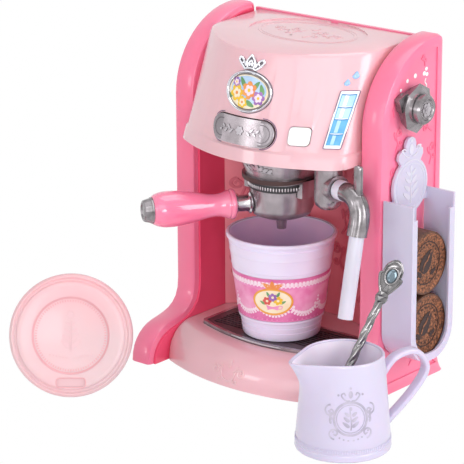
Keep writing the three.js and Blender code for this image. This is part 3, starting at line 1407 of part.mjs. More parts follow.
function pitcherPoint(z, angle, inset) {
  const taper = mix(pitcherBaseRadius, pitcherMouthRadius, z / pitcherHeight) - inset;
  const gap = Math.atan2(Math.sin(angle - spoutTurn), Math.cos(angle - spoutTurn));
  const rise = Math.max(0, (z / pitcherHeight - spoutStartShare) / (1 - spoutStartShare));
  const pull = spoutReach * rise ** spoutCurveShare * Math.exp(-((gap / spoutSpreadShare) ** 2));
  const radius = taper + pull;
  return pointAt(radius * Math.cos(angle), radius * Math.sin(angle), z);
}

function pitcherBody(inset, fromZ, toZ, roundness) {
  const sides = 40;
  const levelShares = [0, 0.3, 0.5, 0.62, 0.74, 0.84, 0.92, 1];
  const angles = Array.from({ length: sides }, (unused, i) => spoutTurn + (i / sides) * 2 * Math.PI);
  const rings = [angles.map((angle) => pitcherPoint(0, angle, inset + roundness).setZ(fromZ))];
  for (const share of levelShares) {
    const z = mix(fromZ + roundness, toZ, share);
    rings.push(angles.map((angle) => pitcherPoint(z, angle, inset)));
  }
  return solidOf(lofted(rings));
}

// Middle points of the handle: shares of its reach, and of its height from its lower root
const handlePathShares = [[0.32, 1], [0.76, 1.042], [1, 0.76], [0.72, 0.42]];

function buildPitcher() {
  const group = new THREE.Group();
  group.position.set(pitcherX, pitcherY, fitGap / 2);
  machine.add(group);
  const outer = pitcherBody(0, 0, pitcherHeight, pitcherBaseRound / 2);
  const inner = pitcherBody(pitcherWall, pitcherWall, pitcherHeight + overrun, pitcherBaseRound / 2);
  const handleTurn = spoutTurn + Math.PI;
  const wallX = (z) => mix(pitcherBaseRadius, pitcherMouthRadius, z / pitcherHeight) - pitcherWall / 2;
  const farX = pitcherMouthRadius + pitcherHandleReach;
  const [low, high, startX] = [pitcherHandleBottom, pitcherHandleTop, wallX(pitcherHandleTop)];
  const onPath = ([out, up]) => pointAt(mix(startX, farX, out), 0, mix(low, high, up));
  const rootZ = high - 6 * pitcherWall;
  const path = new THREE.CatmullRomCurve3([
    pointAt(wallX(rootZ), 0, rootZ), ...handlePathShares.map(onPath), pointAt(wallX(low), 0, low),
  ], false, "centripetal");
  const strap = strapAlong(path, pitcherHandleThickness, pitcherHandleWidth, 18);
  const handle = solidOf(strap).rotate([0, 0, THREE.MathUtils.radToDeg(handleTurn)]);
  addPiece("pitcher", outer.add(handle).subtract(inner), lilac, group);
}

// Strap of rounded section whose width stays square to the plane of its path
const strapSquareShare = 0.6;

function strapAlong(path, thickness, width, steps) {
  const rings = [];
  const sides = 8;
  for (let i = 0; i <= steps; i += 1) {
    const centre = path.getPoint(i / steps);
    const across = pointAt(0, 1, 0);
    const up = path.getTangent(i / steps).cross(across).normalize();
    rings.push(Array.from({ length: sides }, (unused, k) => {
      const angle = ((k + 0.5) / sides) * 2 * Math.PI;
      const [c, s] = [Math.cos(angle), Math.sin(angle)];
      const squared = (value) => Math.sign(value) * Math.abs(value) ** strapSquareShare;
      return centre.clone()
        .addScaledVector(across, squared(c) * width / 2)
        .addScaledVector(up, squared(s) * thickness / 2);
    }));
  }
  return tubeOfRings(rings);
}

// Spoon's end plate: a neck that widens to two shoulders, and a round leaf over them
const finialShares = [
  [0.2, 0],
  [0.62, 0.22],
  [1, 0.5],
  [0.94, 0.6],
  [0.74, 0.6],
  [0.84, 0.82, 0.46, 0.96, 0, 1],
];

function finialOutline(inset) {
  return symmetricalOutline(finialShares, spoonFinialHalfWidth - inset, inset, spoonFinialLength - inset);
}

const scoopShare = 0.86;
const shaftStartShare = 0.8;
const bowlRimShare = 0.7;
const plateDepthShare = 0.8;
const ball = (sizeX, sizeY, sizeZ) => new THREE.SphereGeometry(1, 16, 10).scale(sizeX, sizeY, sizeZ);

function spoonShaft(startZ, endZ) {
  const steps = 40;
  const sides = 4;
  const turns = 2;
  const rings = [];
  for (let i = 0; i <= steps; i += 1) {
    const z = mix(startZ, endZ, i / steps);
    rings.push(Array.from({ length: sides }, (unused, k) => {
      const angle = (k / sides + (i / steps) * turns) * 2 * Math.PI;
      return pointAt(spoonShaftRadius * Math.cos(angle), spoonShaftRadius * Math.sin(angle), z);
    }));
  }
  return solidOf(lofted(rings));
}

function spoonBowl() {
  const [halfWidth, depth, halfLength] = [spoonBowlHalfWidth, spoonKnotRadius, spoonBowlHalfLength];
  const scoop = ball(halfWidth * scoopShare, depth, halfLength * scoopShare).translate(0, -depth / 2, 0);
  const lid = block(4 * halfWidth, depth, 4 * halfLength, 0, -depth * bowlRimShare, 0);
  return solidOf(ball(halfWidth, depth, halfLength)).subtract(solidOf(scoop)).subtract(solidOf(lid));
}

function buildSpoon() {
  const group = new THREE.Group();
  group.position.set(spoonStartX, spoonStartY, spoonStartZ);
  group.rotation.order = "ZYX";
  group.rotation.z = spoonTurn;
  group.rotation.y = spoonLean;
  machine.add(group);
  const shaftEnd = spoonLength - spoonFinialLength;
  const knot = ball(spoonKnotRadius, spoonKnotRadius, spoonKnotRadius).translate(0, 0, shaftEnd);
  const plateDepth = spoonKnotRadius * plateDepthShare;
  const plate = towardsFront(roundEdged(finialOutline, plateDepth, plateDepth / 4, 5), plateDepth / 2);
  let spoon = spoonShaft(spoonBowlHalfLength * shaftStartShare, shaftEnd).add(spoonBowl());
  for (const piece of [knot, plate.translate(0, 0, shaftEnd)]) spoon = spoon.add(solidOf(piece));
  addPiece("spoon", spoon.rotate([0, 0, spoonRoll]), steel, group);
}

buildFrames();
buildBase();
buildTray();
buildBack();
buildScrews();
buildHood();
buildHoodFront();
buildButton();
buildPower();
buildBrewHead();
buildPortafilter();
buildSteamUnit();
buildDial();
buildPodHolder();
buildCup();
buildLid();
buildPitcher();
buildSpoon();

export default machine;
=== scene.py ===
"""Looks of the toy espresso machine set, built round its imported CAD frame.

Lengths below are millimetres in the part's frame (X right, -Y front, Z up) and are
turned into metres as each mesh is made.
"""

import json
from math import asin, atan2, copysign, cos, exp, hypot, pi, radians, sin

import bmesh
import bpy
from mathutils import Matrix, Vector, noise


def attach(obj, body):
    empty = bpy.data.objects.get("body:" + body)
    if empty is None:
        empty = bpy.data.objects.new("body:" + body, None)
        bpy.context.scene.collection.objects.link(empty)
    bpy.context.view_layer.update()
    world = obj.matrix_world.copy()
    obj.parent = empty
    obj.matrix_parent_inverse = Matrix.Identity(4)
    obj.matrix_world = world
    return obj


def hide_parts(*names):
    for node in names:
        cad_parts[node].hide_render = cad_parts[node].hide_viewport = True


MM = 0.001
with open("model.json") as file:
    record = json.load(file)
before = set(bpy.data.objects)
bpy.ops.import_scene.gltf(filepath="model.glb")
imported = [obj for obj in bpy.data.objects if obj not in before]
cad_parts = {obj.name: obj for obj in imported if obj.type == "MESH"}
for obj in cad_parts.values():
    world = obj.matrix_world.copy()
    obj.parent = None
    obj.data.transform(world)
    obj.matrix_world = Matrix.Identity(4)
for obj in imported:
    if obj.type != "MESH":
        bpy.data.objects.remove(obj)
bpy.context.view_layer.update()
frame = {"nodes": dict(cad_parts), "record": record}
nodes = frame["nodes"]
scene = bpy.context.scene


# Materials

def linear(r, g, b):
    def one(c):
        c /= 255
        return c / 12.92 if c <= 0.04045 else ((c + 0.055) / 1.055) ** 2.4
    return one(r), one(g), one(b)


def fill(tree, node, inputs):
    """Sets inputs of a node from values, or links them to sockets."""
    for name, value in inputs.items():
        if isinstance(value, bpy.types.NodeSocket):
            tree.links.new(value, node.inputs[name])
        else:
            node.inputs[name].default_value = value


def add_node(tree, kind, inputs):
    node = tree.nodes.new("ShaderNode" + kind)
    fill(tree, node, inputs)
    return node


COAT_ROUGHNESS = 0.06
SUBSURFACE_REACH = 2
SHADE_SAMPLES = 6
MOTTLE_STOPS = (0.35, 0.65)


def material(name, color, roughness, metallic=0.0, coat=0.0, subsurface=0.0, bump=None, mottle=None):
    """bump is (scale, strength, depth in mm); mottle is (other colour, scale)."""
    mat = bpy.data.materials.new(name)
    mat.use_nodes = True
    tree = mat.node_tree
    base = linear(*color)
    fill(tree, tree.nodes["Principled BSDF"], {
        "Base Color": (*base, 1), "Roughness": roughness, "Metallic": metallic, "Coat Weight": coat,
        "Coat Roughness": COAT_ROUGHNESS, "Subsurface Weight": subsurface,
        "Subsurface Scale": SUBSURFACE_REACH * MM})
    if bump:
        add_bump(mat, *bump)
    if mottle:
        add_mottle(mat, base, linear(*mottle[0]), mottle[1])
    return mat


def add_noise(tree, scale, detail):
    """Socket of a noise that rides with the object."""
    coords = add_node(tree, "TexCoord", {})
    texture = add_node(tree, "TexNoise", {
        "Scale": scale, "Detail": detail, "Vector": coords.outputs["Object"]})
    return texture.outputs["Fac"]


def add_bump(mat, scale, strength, depth):
    tree = mat.node_tree
    height = add_noise(tree, scale, 4)
    bump = add_node(tree, "Bump", {"Strength": strength, "Distance": depth * MM, "Height": height})
    fill(tree, tree.nodes["Principled BSDF"], {"Normal": bump.outputs["Normal"]})


def add_painted_crevice_shade(mat, shade, reach):
    """Paints shade into the base colour where other surfaces stand close: painted shade in crevices."""
    tree = mat.node_tree
    bsdf = tree.nodes["Principled BSDF"]
    occlusion = add_node(tree, "AmbientOcclusion", {"Distance": reach * MM})
    occlusion.samples = SHADE_SAMPLES
    blend = add_node(tree, "Mix", {})
    blend.data_type = "RGBA"
    source = bsdf.inputs["Base Color"].links[0].from_socket
    fill(tree, blend, {"A": (*linear(*shade), 1), "B": source, "Factor": occlusion.outputs["AO"]})
    fill(tree, bsdf, {"Base Color": blend.outputs["Result"]})


def add_mottle(mat, one, other, scale):
    """Lets the base colour wander between two colours."""
    tree = mat.node_tree
    ramp = add_node(tree, "ValToRGB", {"Fac": add_noise(tree, scale, 3)})
    for element, place, color in zip(ramp.color_ramp.elements, MOTTLE_STOPS, (one, other)):
        element.position = place
        element.color = (*color, 1)
    fill(tree, tree.nodes["Principled BSDF"], {"Base Color": ramp.outputs["Color"]})


GRAIN = (420, 0.05, 0.12)
FINE_GRAIN = (600, 0.06, 0.15)


def plastic(name, color, other, scale, roughness=0.3, coat=0.3, subsurface=0.0):
    """Moulded plastic whose colour wanders to another over patches of a scale."""
    return material(name, color, roughness, 0.0, coat, subsurface, GRAIN, (other, scale))


def metal(name, color, other, scale, roughness, metallic, bump=FINE_GRAIN):
    """Metal, or paint and plastic that look metallic."""
    return material(name, color, roughness, metallic, bump=bump, mottle=(other, scale))


def printed(name, color, other, scale=90, roughness=0.42, coat=0.0, bump=None):
    """Ink or a plain dull surface."""
    return material(name, color, roughness, coat=coat, bump=bump, mottle=(other, scale))


HOT = plastic("hot pink plastic", (252, 130, 165), (248, 118, 154), 9, 0.28, 0.35, 0.1)
GRIP_PINK = material("grip pink plastic", (250, 152, 184), 0.16, coat=0.8, subsurface=0.15,
                     bump=(60, 0.03, 0.2), mottle=((244, 116, 154), 14))
PALE = plastic("pale pink plastic", (228, 181, 189), (239, 188, 197), 8, 0.26, 0.6, 0.1)
BASE_PINK = plastic("base pink plastic", (232, 187, 194), (240, 192, 198), 10, 0.17, 1.0, 0.15)
WALL = plastic("niche pink plastic", (252, 150, 164), (248, 140, 156), 14, 0.36, 0.2)
# Darker copies of the niche and panel pinks for the reliefs on them: painted shade.
WALL_RELIEF_SHADE = plastic("niche relief painted shade", (224, 112, 130), (232, 120, 138), 30, 0.36, 0.2)
PANEL_RELIEF_SHADE = plastic("panel relief painted shade", (240, 104, 142), (246, 112, 150), 30)
# Deeper, darker copy of the hot pink for the frames' inner sides: painted shade.
LINER_PAINTED_SHADE = plastic("inner side pink with painted shade", (254, 88, 128), (240, 76, 114), 12, 0.32)
LILAC = plastic("lilac plastic", (206, 201, 222), (210, 199, 225), 12, subsurface=0.15)
# Lighter copies of the lilac for the cup, pinker inside it, and for the pitcher's inside: painted light.
LILAC_CUP_PAINTED_LIGHT = plastic("cup lilac with painted light", (234, 224, 246), (238, 224, 249), 12, subsurface=0.15)
LILAC_INSIDE_PAINTED_LIGHT = plastic("cup inside lilac with painted light", (250, 212, 244), (200, 180, 222), 12, 0.34, 0.0, 0.15)
PITCHER_INSIDE_PAINTED_LIGHT = plastic("pitcher inside lilac with painted light", (250, 238, 255), (251, 241, 255), 12, 0.3, 0.0, 0.15)
LILAC_PALE = plastic("white lilac plastic", (214, 210, 224), (226, 220, 236), 12, subsurface=0.15)
GREY = metal("silver grey plastic", (188, 178, 184), (152, 144, 148), 60, 0.27, 0.8)
GREY_DARK = metal("dark silver plastic", (112, 104, 110), (92, 84, 90), 50, 0.34, 0.6, (600, 0.08, 0.2))
TRAY = metal("tray grey plastic", (66, 48, 54), (92, 76, 84), 40, 0.36, 0.35, (500, 0.1, 0.2))
CHROME = material("chrome", (226, 226, 232), 0.08, metallic=1.0, bump=(90, 0.04, 0.4))
WHITE = printed("white print", (246, 246, 249), (252, 252, 253), 30, 0.3, 0.3)
PANE = material("lamp pane", (243, 238, 240), 0.25, coat=0.4, subsurface=0.3, mottle=((248, 245, 246), 40))
BLUE = printed("blue print", (92, 176, 222), (62, 148, 206), 70, 0.35, 0.3)
BLUE_PALE = printed("pale blue print", (168, 200, 238), (186, 214, 244), 60, 0.3, 0.4)
BLUE_LIGHT = printed("light blue print", (186, 222, 244), (160, 212, 240), 80, 0.35, 0.3)
INK = printed("plum ink", (104, 72, 108), (120, 88, 122), roughness=0.45)
SLEEVE = printed("sleeve pink print", (234, 128, 180), (246, 176, 210), 70)
SLEEVE_PALE = printed("sleeve pale print", (252, 232, 242), (250, 222, 236), 60)
ORANGE = printed("apricot print", (236, 140, 70), (246, 168, 96))
CREAM = printed("cream print", (252, 240, 214), (248, 228, 190), 80)
YELLOW = printed("yellow print", (248, 206, 60), (240, 186, 40))
LEAF = printed("leaf print", (120, 170, 110), (96, 148, 96))
VIOLET = printed("violet print", (170, 120, 190), (150, 100, 176))
POD = printed("pod brown", (62, 36, 29), (174, 110, 75), 520, 0.55, bump=(800, 1.0, 1.4))
POD_RIM = printed("pod dark rim", (74, 44, 34), (104, 66, 46), 400, 0.55, bump=(900, 0.7, 0.5))
POD_PRINT = printed("pod dark print", (44, 28, 28), (62, 40, 38), 700, 0.6, bump=(1400, 0.4, 0.3))
SILVER = metal("silver paint", (150, 147, 148), (112, 110, 112), 90, 0.17, 0.95, (300, 0.08, 0.2))
EMBLEM = metal("silver print", (170, 163, 182), (198, 190, 208), 120, 0.35, 0.15, None)
STEEL = material("zinc steel", (190, 190, 194), 0.25, metallic=1.0, bump=(500, 0.08, 0.1))
DARK = printed("dark plastic", (40, 38, 42), (52, 50, 54), 60, 0.5, bump=(500, 0.1, 0.1))
GREEN = printed("board green", (40, 110, 64), (30, 92, 54), 80, 0.5)
CELL = printed("cell wrap", (60, 110, 168), (52, 96, 150), 50, 0.35, 0.3)
CHROME_DARK = metal("dark chrome", (158, 152, 156), (120, 116, 118), 160, 0.2, 0.72, (300, 0.06, 0.2))
GREY_LIGHT = metal("light silver plastic", (196, 190, 196), (178, 172, 178), 60, 0.28, 0.72)
BUTTON = metal("button silver", (150, 143, 148), (138, 131, 136), 40, 0.26, 0.8)
INK_PALE = printed("soft plum ink", (222, 178, 190), (226, 186, 196), roughness=0.45)
BLUE_DEEP = printed("deep blue print", (36, 120, 186), (52, 136, 198), 60, 0.35, 0.3)
BRIGHT_METAL = material("bright metal", (206, 202, 206), 0.2, metallic=0.95, bump=(500, 0.05, 0.2))
# Darker lilac for the ring inside the cup's lip: painted shade.
LILAC_PAINTED_SHADE = printed("lilac painted shade", (170, 158, 186), (158, 146, 176), 30, 0.45)
WHITE_METAL = metal("bead metal", (232, 226, 230), (196, 188, 192), 200, 0.25, 0.4, None)
# Dark brown for the band over the collar's top ring: painted shadow.
COLLAR_PAINTED_SHADOW = printed("painted shadow brown", (62, 40, 40), (76, 50, 48), roughness=0.6)
SHADE = metal("dark enamel", (92, 84, 92), (120, 112, 120), 200, 0.35, 0.3, None)
DROP = material("water drop print", (142, 186, 232), 0.15, coat=0.8, subsurface=0.2,
                mottle=((160, 200, 240), 60))
SLEEVE_DEEP = printed("sleeve deep print", (222, 104, 164), (232, 130, 182))
SLEEVE_SOFT = printed("sleeve soft print", (242, 160, 204), (236, 136, 190))
BLOOM_RED = printed("red print", (226, 92, 84), (206, 70, 72))
LID_PINK = plastic("lid pink plastic", (223, 192, 196), (235, 184, 190), 12, 0.42, 0.15, 0.1)
LID_SHADE = plastic("lid recess pink", (228, 190, 195), (226, 184, 190), 20, 0.45, 0.0)
LID_LINE = plastic("lid line pink", (230, 172, 178), (226, 164, 172), 20, 0.45, 0.0)
LILAC_GEM = material("gem", (112, 128, 138), 0.16, metallic=0.7, bump=(200, 0.05, 0.2))
# Painted shade in the crevices of the button, grey and silver paints.
for paint in (BUTTON, GREY, GREY_LIGHT, GREY_DARK):
    add_painted_crevice_shade(paint, (84, 76, 80), 6)
add_painted_crevice_shade(SILVER, (26, 24, 26), 2.2)
BY_SLOT = {
    "hot_pink": HOT, "pale_pink": PALE, "silver_grey_plastic": GREY, "tray_grey": TRAY, "lilac": LILAC,
    "chrome": CHROME, "pearl_white": WHITE, "print_blue": BLUE, "print_pink": SLEEVE, "pod_brown": POD,
    "silver_spoon": SILVER, "steel": STEEL, "dark_plastic": DARK, "board_green": GREEN, "cell_wrap": CELL,
}
SLOT_OF = {entry["node"]: entry["material_slot"] for entry in frame["record"]["subparts"]}


# Mesh tools

def shading_nodes(limit):
    """Node group that welds a CAD mesh and smooths it except at its sharp edges."""
    group = bpy.data.node_groups.new(f"weld and smooth {limit}", "GeometryNodeTree")
    for way in ("INPUT", "OUTPUT"):
        group.interface.new_socket("Geometry", in_out=way, socket_type="NodeSocketGeometry")
    new, link = group.nodes.new, group.links.new
    start, end = new("NodeGroupInput"), new("NodeGroupOutput")
    merge = new("GeometryNodeMergeByDistance")
    merge.inputs["Distance"].default_value = 0.01 * MM
    drop = new("GeometryNodeRemoveAttribute")
    drop.inputs["Name"].default_value = "custom_normal"
    faces, edges = new("GeometryNodeSetShadeSmooth"), new("GeometryNodeSetShadeSmooth")
    edges.domain = "EDGE"
    edges.inputs["Shade Smooth"].default_value = False
    angle, steep = new("GeometryNodeInputMeshEdgeAngle"), new("FunctionNodeCompare")
    steep.operation = "GREATER_THAN"
    steep.inputs[1].default_value = radians(limit)
    steps = (start, merge, drop, faces, edges, end)
    for before, after in zip(steps, steps[1:]):
        link(before.outputs[0], after.inputs["Geometry"])
    link(angle.outputs["Unsigned Angle"], steep.inputs[0])
    link(steep.outputs[0], edges.inputs["Selection"])
    return group


def new_mesh(name, points, faces):
    mesh = bpy.data.meshes.new(name)
    mesh.from_pydata(points, [], faces)
    return mesh


def new_object(name, data):
    obj = bpy.data.objects.new(name, data)
    scene.collection.objects.link(obj)
    return obj


class Shape:
    """Points in millimetres and faces that become one object."""

    def __init__(self):
        self.points, self.faces = [], []

    def add(self, points, faces):
        start = len(self.points)
        self.points += [Vector(p) for p in points]
        self.faces += [[start + i for i in face] for face in faces]
        return self

    def skin(self, rings, closed=True, capped=True):
        """Faces between rings of equal counts; closed rings run round."""
        count = len(rings[0])
        around = count if closed else count - 1
        faces = []
        for low in range(0, (len(rings) - 1) * count, count):
            high = low + count
            faces += [[low + i, low + (i + 1) % count, high + (i + 1) % count, high + i]
                      for i in range(around)]
        if capped:
            faces.append(list(range(count))[::-1])
            faces.append([(len(rings) - 1) * count + i for i in range(count)])
        return self.add([p for ring in rings for p in ring], faces)

    def lathe(self, section, segments=96, turn=Matrix.Identity(4)):
        """Turns a section of (radius, height) rows about Z, then places it."""
        rings = [ring_at(turn, r, z, segments) for r, z in section]
        return self.skin(rings, capped=section[0] != section[-1])

    def tube(self, path, r, sides=8, up=Vector((0, 0, 1))):
        """Tube along points."""
        rings = []
        for i, point in enumerate(path):
            ahead = (path[min(i + 1, len(path) - 1)] - path[max(i - 1, 0)]).normalized()
            side = ahead.cross(up).normalized()
            over = side.cross(ahead)
            rings.append([point + side * r * cos(a) + over * r * sin(a) for a in circle(sides)])
        return self.skin(rings)

    def ball(self, centre, radius, segments=12):
        """A small bead."""
        rings = []
        for t in (pi * k / 7 for k in range(1, 7)):
            rings.append([centre + polar(radius * sin(t), a, radius * cos(t)) for a in circle(segments)])
        return self.skin(rings)

    def patch(self, outline, place, lift, rings=5, thick=0.0):
        """Star-shaped flat outline laid on a surface; place(u, v, lift) gives the point."""
        cu = sum(u for u, v in outline) / len(outline)
        cv = sum(v for u, v in outline) / len(outline)
        loops = [[place(cu + (u - cu) * k / rings, cv + (v - cv) * k / rings, lift) for u, v in outline]
                 for k in range(rings, 0, -1)]
        loops.append([place(cu + (u - cu) * 0.02, cv + (v - cv) * 0.02, lift) for u, v in outline])
        if thick:
            loops.insert(0, [place(u, v, lift - thick) for u, v in outline])
        count = len(outline)
        turns = [outline[i - 1][0] * outline[i][1] - outline[i][0] * outline[i - 1][1] for i in range(count)]
        if sum(turns) < 0:
            loops = [ring[::-1] for ring in loops]
        self.skin(loops, capped=False)
        end = len(self.points)
        self.faces.append(list(range(end - count, end)))
        return self

    def leaves(self, rows, place, lift, rings=2, thick=0.0):
        """Leaves from rows of (u, v, length, width, turn)."""
        for row in rows:
            self.patch(leaf_outline(*row), place, lift, rings, thick)
        return self

    def ovals(self, rows, place, lift, rings=2, thick=0.0):
        """Ovals from rows of (u, v, half width, half height, corners)."""
        for row in rows:
            self.patch(ellipse(*row), place, lift, rings, thick)
        return self

    def ribbon(self, path, width, place, lift, closed=False, thick=0.0):
        """Stroke of a given width along a flat path on a surface."""
        count = len(path)
        sides = []
        for i, (u, v) in enumerate(path):
            before = path[i - 1] if closed or i else path[0]
            after = path[(i + 1) % count] if closed or i + 1 < count else path[-1]
            du, dv = after[0] - before[0], after[1] - before[1]
            size = hypot(du, dv) or 1
            w = (width(i / (count - 1)) if callable(width) else width) / 2
            sides.append((u, v, -dv / size * w, du / size * w))
        rings = []
        for u, v, a, b in sides:
            top = [place(u - a, v - b, lift), place(u, v, lift + thick * 0.25), place(u + a, v + b, lift)]
            if thick:
                top = [place(u - a, v - b, lift - thick)] + top + [place(u + a, v + b, lift - thick)]
            rings.append(top)
        if closed:
            rings.append(rings[0])
        return self.skin([ring[::-1] for ring in rings], closed=False, capped=False)

    def make(self, name, mat, body, replaces=(), angle=35, slot=None, turned=False):
        mesh = new_mesh(name, [p * MM for p in self.points], self.faces)
        mesh.validate()
        obj = new_object(name, mesh)
        mesh.materials.append(mat)
        finish(mesh, angle, turned)
        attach(obj, body)
        if replaces:
            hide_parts(*replaces)
        return obj

    def lay(self, name, mat, body, replaces=(), slot=None):
        """Makes a piece whose faces look outwards already."""
        return self.make(name, mat, body, replaces, slot=slot, turned=True)


def finish(mesh, angle=35, turned=False):
    """Makes the faces look outwards and the shading smooth."""
    work = bmesh.new()
    work.from_mesh(mesh)
    bmesh.ops.remove_doubles(work, verts=work.verts, dist=0.002 * MM)
    if not turned:
        bmesh.ops.recalc_face_normals(work, faces=work.faces)
    work.to_mesh(mesh)
    work.free()
    for polygon in mesh.polygons:
        polygon.use_smooth = True
    mesh.set_sharp_from_angle(angle=radians(angle))


def cut(obj, shape):
    """Takes a shape out of an object and keeps the result as its mesh."""
    mesh = new_mesh("cutter", [p * MM for p in shape.points], shape.faces)
    finish(mesh)
    tool = new_object("cutter", mesh)
    step = obj.modifiers.new("cut", "BOOLEAN")
    step.object = tool
    step.solver = "EXACT"
    bpy.context.view_layer.update()
    result = bpy.data.meshes.new_from_object(obj.evaluated_get(bpy.context.evaluated_depsgraph_get()))
    obj.modifiers.clear()
    old = obj.data
    mats = list(old.materials)
    obj.data = result
    result.materials.clear()
    for mat in mats:
        result.materials.append(mat)
    bpy.data.meshes.remove(old)
    bpy.data.objects.remove(tool)
    finish(result)


def circle(count, start=0.0):
    return [start + 2 * pi * i / count for i in range(count)]


def mix(a, b, t):
    return a + (b - a) * t


def polar(r, a, z):
    return Vector((r * cos(a), r * sin(a), z))


def ring_at(place, radius, z, count=96):
    """Points of a level circle at a height, moved by a matrix."""
    return [place @ polar(radius, a, z) for a in circle(count)]


def spin(degrees, axis):
    return Matrix.Rotation(radians(degrees), 4, axis)


def softened(points, radius, closed=False, steps=4):
    """A polyline with its corners rounded."""
    out = []
    count = len(points)
    for i, point in enumerate(points):
        p = Vector(point)
        if not closed and i in (0, count - 1):
            out.append(tuple(p))
            continue
        before, after = Vector(points[i - 1]) - p, Vector(points[(i + 1) % count]) - p
        a = p + before.normalized() * min(radius, before.length * 0.45)
        b = p + after.normalized() * min(radius, after.length * 0.45)
        for k in range(steps + 1):
            t = k / steps
            out.append(tuple(a.lerp(p, t).lerp(p.lerp(b, t), t)))
    return out


def spline(points, steps=8):
    """Smooth curve through points."""
    pts = [Vector(p) for p in points]
    out = []
    for i in range(len(pts) - 1):
        p0, p1, p2, p3 = pts[max(i - 1, 0)], pts[i], pts[i + 1], pts[min(i + 2, len(pts) - 1)]
        for k in range(steps):
            t = k / steps
            out.append(0.5 * (2 * p1 + (p2 - p0) * t + (2 * p0 - 5 * p1 + 4 * p2 - p3) * t * t
                              + (3 * p1 - p0 - 3 * p2 + p3) * t ** 3))
    return out + [pts[-1]]


def ellipse(cu, cv, a, b, count=40, start=0.0):
    return [(cu + a * cos(t), cv + b * sin(t)) for t in circle(count, start)]


def scroll(cu, cv, size, turn, hand=1, loops=1.4, count=26):
    """Spiral with a tail, the plain flourish that all the reliefs are made of."""
    out = []
    for i in range(count):
        t = i / (count - 1)
        angle = turn + hand * t * loops * 2 * pi
        r = size * (1 - t) ** 0.8 + size * 0.08
        out.append((cu + r * cos(angle), cv + r * sin(angle)))
    return out


OWN_PAINT = {
    "left_frame_liner": LINER_PAINTED_SHADE, "right_frame_liner": LINER_PAINTED_SHADE, "niche_wall": WALL, "hood_floor": WALL,
    "base_plate": BASE_PINK, "light_window": PANE, "wand_pipe": LILAC_PALE, "wand_peg": WHITE,
    "dial_skirt": CHROME_DARK, "dial_cap": CHROME_DARK, "wand_tap_front": CHROME_DARK,
    "wand_tap_rear": CHROME_DARK,
}
smoothing = shading_nodes(35)
for name, obj in nodes.items():
    obj.data.materials.clear()
    obj.data.materials.append(OWN_PAINT.get(name, BY_SLOT[SLOT_OF[name]]))
    step = obj.modifiers.new("finish", "NODES")
    step.node_group = smoothing


# Camera, floor and light

CAMERA_TURNS = (40.056, 17.552, -0.276)  # azimuth, elevation and roll in degrees
CAMERA_PLACE = (1191.86, -1482.51, 715.0)
CAMERA_LENS = 193.86
FLOOR_HALF, FLOOR_DROP = 8, 0.0003  # metres


def set_camera():
    azimuth, elevation, roll = (radians(a) for a in CAMERA_TURNS)
    forward = Vector((-sin(azimuth) * cos(elevation), cos(azimuth) * cos(elevation),
                      -sin(elevation)))
    right = Vector((cos(azimuth), sin(azimuth), 0))
    up = right.cross(forward)
    side = right * cos(roll) + up * sin(roll)
    top = up * cos(roll) - right * sin(roll)
    data = bpy.data.cameras.new("camera")
    data.lens = CAMERA_LENS
    data.clip_end = 50
    camera = new_object("camera", data)
    turn = Matrix((side, top, -forward)).transposed().to_4x4()
    camera.matrix_world = Matrix.Translation(Vector(CAMERA_PLACE) * MM) @ turn
    scene.camera = camera


def light(name, place, power, size, tall=None, aim=(0.02, -0.03, 0.12)):
    data = bpy.data.lights.new(name, "AREA")
    data.energy = power
    data.shape = "RECTANGLE"
    data.size = size
    data.size_y = tall or size
    lamp = new_object(name, data)
    lamp.location = place
    lamp.rotation_euler = (Vector(aim) - Vector(place)).to_track_quat("-Z", "Y").to_euler()


def seen_rays(tree):
    """Socket that is 1 for rays that show a background: camera, glossy and transmission rays."""
    path = add_node(tree, "LightPath", {})
    total = path.outputs["Is Camera Ray"]
    for name in ("Is Glossy Ray", "Is Transmission Ray"):
        step = add_node(tree, "Math", {0: total, 1: path.outputs[name]})
        step.operation = "ADD"
        step.use_clamp = True
        total = step.outputs[0]
    return total


def set_world(level):
    """White where it is seen and an even grey where it only lights."""
    world = bpy.data.worlds.new("studio")
    scene.world = world
    world.use_nodes = True
    tree = world.node_tree
    strength = add_node(tree, "MapRange", {"To Min": level, "To Max": 1, "Value": seen_rays(tree)})
    fill(tree, tree.nodes["Background"], {"Color": (1, 1, 1, 1), "Strength": strength.outputs["Result"]})


def set_floor():
    """Plain white floor where it is seen, so without a shadow, and pale matt where it only lights."""
    mat = bpy.data.materials.new("floor")
    mat.use_nodes = True
    tree = mat.node_tree
    tree.nodes.remove(tree.nodes["Principled BSDF"])
    matt = add_node(tree, "BsdfDiffuse", {"Color": (0.95, 0.95, 0.95, 1)})
    white = add_node(tree, "Emission", {"Strength": 1})
    blend = add_node(tree, "MixShader", {"Fac": seen_rays(tree), 1: matt.outputs[0], 2: white.outputs[0]})
    fill(tree, tree.nodes["Material Output"], {"Surface": blend.outputs[0]})
    corners = [(x * FLOOR_HALF, y * FLOOR_HALF, -FLOOR_DROP)
               for x, y in ((-1, -1), (1, -1), (1, 1), (-1, 1))]
    mesh = new_mesh("floor", corners, [(0, 1, 2, 3)])
    mesh.materials.append(mat)
    new_object("floor", mesh)


set_camera()
set_world(0.41)
set_floor()
light("key", (0.9, -1.5, 1.2), 5.2, 1.0)
light("low front", (1.3, -1.4, 0.4), 6.4, 0.5)
light("strip", (0.03, -2.0, 0.62), 4.6, 0.66, tall=1.3, aim=(0.03, 0, 0.3))
light("side", (1.7, 0.1, 0.6), 12.5, 0.9)
light("fill", (-1.2, -1.2, 0.7), 0.4, 1.0)
light("spark", (-0.75, -1.6, 0.42), 1.9, 0.3, tall=0.4)
light("top", (0.1, 0.2, 1.7), 9.5, 1.2)


# Places on the surfaces: two measures along a surface and a lift off it give a point

